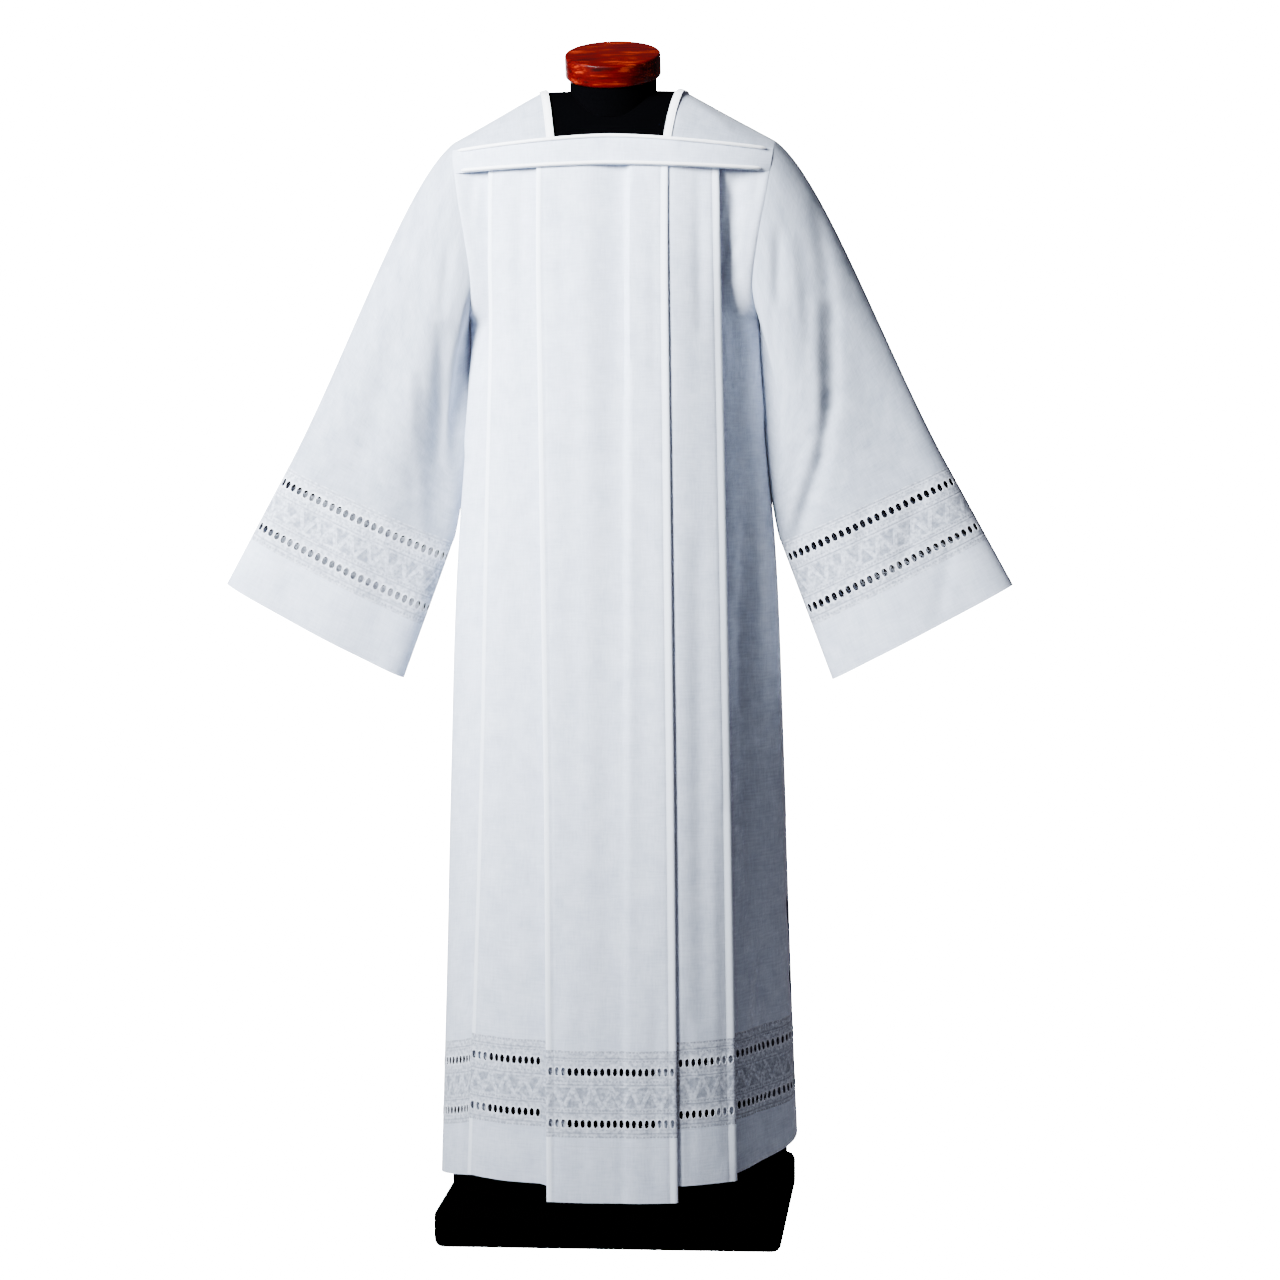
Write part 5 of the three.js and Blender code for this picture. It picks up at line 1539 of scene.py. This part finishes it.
# %% Lace material
lace_white, tree, shader = new_material("lace_white", 0.92, sheen=0.1)
cloth = place_group(tree, "plain_weave", Vector=cloth_map(tree), Thread=0.0013)
drawn = place_group(tree, "drawn_threads", Vector=cloth_map(tree, "pattern"))
grey_patches = noise_of(tree, cloth_map(tree), 210, 4)
colour = colour_mix(tree, range_of(tree, grey_patches, 0.36, 0.62), (0.30, 0.33, 0.40, 1), (0.56, 0.60, 0.69, 1))
patchy = range_of(tree, noise_of(tree, cloth_map(tree), 75, 3), 0.36, 0.6, 0.1, 0.8)
# The net is painted darker, in patches: painted shade seen through the open net.
colour = colour_mix(tree, math_of(tree, "MULTIPLY", drawn["Net"], patchy), colour, (0.13, 0.15, 0.20, 1))
colour = colour_mix(tree, math_of(tree, "MULTIPLY", drawn["Line"], 0.55), colour, (0.22, 0.24, 0.30, 1))
on_rim = math_of(tree, "MULTIPLY", fact_of(tree, "rim"), 0.5)
colour = colour_mix(tree, on_rim, colour, (0.84, 0.88, 0.96, 1))
# Painted shade: filled eyelets are painted nearly black, as the inside seen through a hole.
colour = colour_mix(tree, fact_of(tree, "painted_shade_hole"), colour, (0.01, 0.01, 0.012, 1))
tree.links.new(colour, shader.inputs["Base Color"])
relief = math_of(tree, "SUBTRACT", cloth["Height"], math_of(
    tree, "MULTIPLY", math_of(tree, "ADD", drawn["Net"], drawn["Line"]), 1.5,
))
bump(tree, shader, relief, 0.5, 0.0004)
print("lace ready")

# %% [markdown]
# The form's finishes: a fine black jersey, varnished red-brown wood with dark streaks of
# grain and a clear coat, black lacquer with faint waves in its gloss, and brushed steel. None
# of these has a flat size, so their patterns read Object coordinates.

# %% Form materials
def object_place(tree):
    return tree.nodes.new("ShaderNodeTexCoord").outputs["Object"]


jersey_black, tree, shader = new_material("jersey_black", 0.95)
shader.inputs["Specular IOR Level"].default_value = 0.0
place = object_place(tree)
knit = noise_of(tree, place, 900, 2, (1.0, 1.0, 0.35))
black = colour_mix(tree, knit, (0.0002, 0.0002, 0.0003, 1), (0.0008, 0.0008, 0.001, 1))
tree.links.new(black, shader.inputs["Base Color"])
bump(tree, shader, knit, 0.4, 0.0004)

wood_varnished, tree, shader = new_material("wood_varnished", 0.5, coat=0.05)
shader.inputs["Coat Roughness"].default_value = 0.16
shader.inputs["Specular IOR Level"].default_value = 0.03
place = object_place(tree)
streaks = noise_of(tree, place, 46, 6, (0.35, 1.6, 3.2))
fibres = noise_of(tree, place, 160, 4, (0.25, 1.0, 4.0))
coarse, fine = math_of(tree, "MULTIPLY", streaks, 0.75), math_of(tree, "MULTIPLY", fibres, 0.35)
grain = math_of(tree, "ADD", coarse, fine)
red = colour_mix(tree, range_of(tree, grain, 0.38, 0.56), (0.008, 0.0, 0.0, 1), (0.045, 0.0001, 0.0001, 1))
amber = colour_mix(tree, range_of(tree, grain, 0.60, 0.74), red, (0.20, 0.014, 0.0002, 1))
tree.links.new(amber, shader.inputs["Base Color"])
bump(tree, shader, fibres, 0.12, 0.0004)

lacquer_black, tree, shader = new_material("lacquer_black", 0.5)
shader.inputs["Specular IOR Level"].default_value = 0.0
place = object_place(tree)
cloud = noise_of(tree, place, 9, 3)
black = colour_mix(tree, cloud, (0.0001, 0.0001, 0.0001, 1), (0.0003, 0.0003, 0.0003, 1))
tree.links.new(black, shader.inputs["Base Color"])
waves = noise_of(tree, place, 60, 4)
tree.links.new(range_of(tree, waves, 0.3, 0.7, 0.42, 0.6), shader.inputs["Roughness"])

steel_brushed, tree, shader = new_material("steel_brushed", 0.3)
shader.inputs["Metallic"].default_value = 1.0
place = object_place(tree)
brush = noise_of(tree, place, 260, 3, (1.0, 1.0, 0.04))
grey = colour_mix(tree, brush, (0.42, 0.43, 0.45, 1), (0.62, 0.63, 0.65, 1))
tree.links.new(grey, shader.inputs["Base Color"])
tree.links.new(range_of(tree, brush, 0.3, 0.7, 0.24, 0.4), shader.inputs["Roughness"])
print("all materials:", len(bpy.data.materials))

# %% [markdown]
# ## Dressing the frame
# Each piece takes its finish, rides on the part's one body, and stands for the solids of the
# same cloth. The sheets state the flat size of what shows of them.

# %% Finishes, bodies and nodes
DRESSED = [
    (front_panel, linen_pleated, "linen", ["front_panel"]),
    (back_panel, linen_pleated, "linen", ["back_panel"]),
    (front_hem, linen_hem, "linen", ["front_hem"]),
    (back_hem, linen_hem, "linen", ["back_hem"]),
    (front_lace, lace_white, "lace", ["front_lace"]),
    (back_lace, lace_white, "lace", ["back_lace"]),
    (yoke, linen_painted_shade, "linen", ["yoke"]),
    (front_band, linen_plain, "linen", ["front_band"]),
    (piping_lower, tape_white, "trim", ["piping_lower"]),
    (piping_upper, tape_white, "trim", ["piping_upper"]),
    (facing_left, tape_white, "trim", ["neck_facing_left"]),
    (facing_right, tape_white, "trim", ["neck_facing_right"]),
    (sleeve_left, linen_painted_shade, "linen", ["sleeve_left"]),
    (sleeve_right, linen_painted_shade, "linen", ["sleeve_right"]),
    (lace_left, lace_white, "lace", ["sleeve_lace_front_left", "sleeve_lace_back_left"]),
    (lace_right, lace_white, "lace", ["sleeve_lace_front_right", "sleeve_lace_back_right"]),
    (cuff_left, linen_plain, "linen", ["cuff_left"]),
    (cuff_right, linen_plain, "linen", ["cuff_right"]),
    (form_torso, jersey_black, "jersey", ["form_torso"]),
    (form_cap, wood_varnished, "wood", ["form_cap"]),
    (form_pole, steel_brushed, "steel", ["form_pole"]),
    (form_base, lacquer_black, "lacquer", ["form_base"]),
]
for piece, material, slot, nodes in DRESSED:
    piece.data.materials.clear()
    piece.data.materials.append(material)
    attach(piece, "root")
    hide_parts(*nodes)
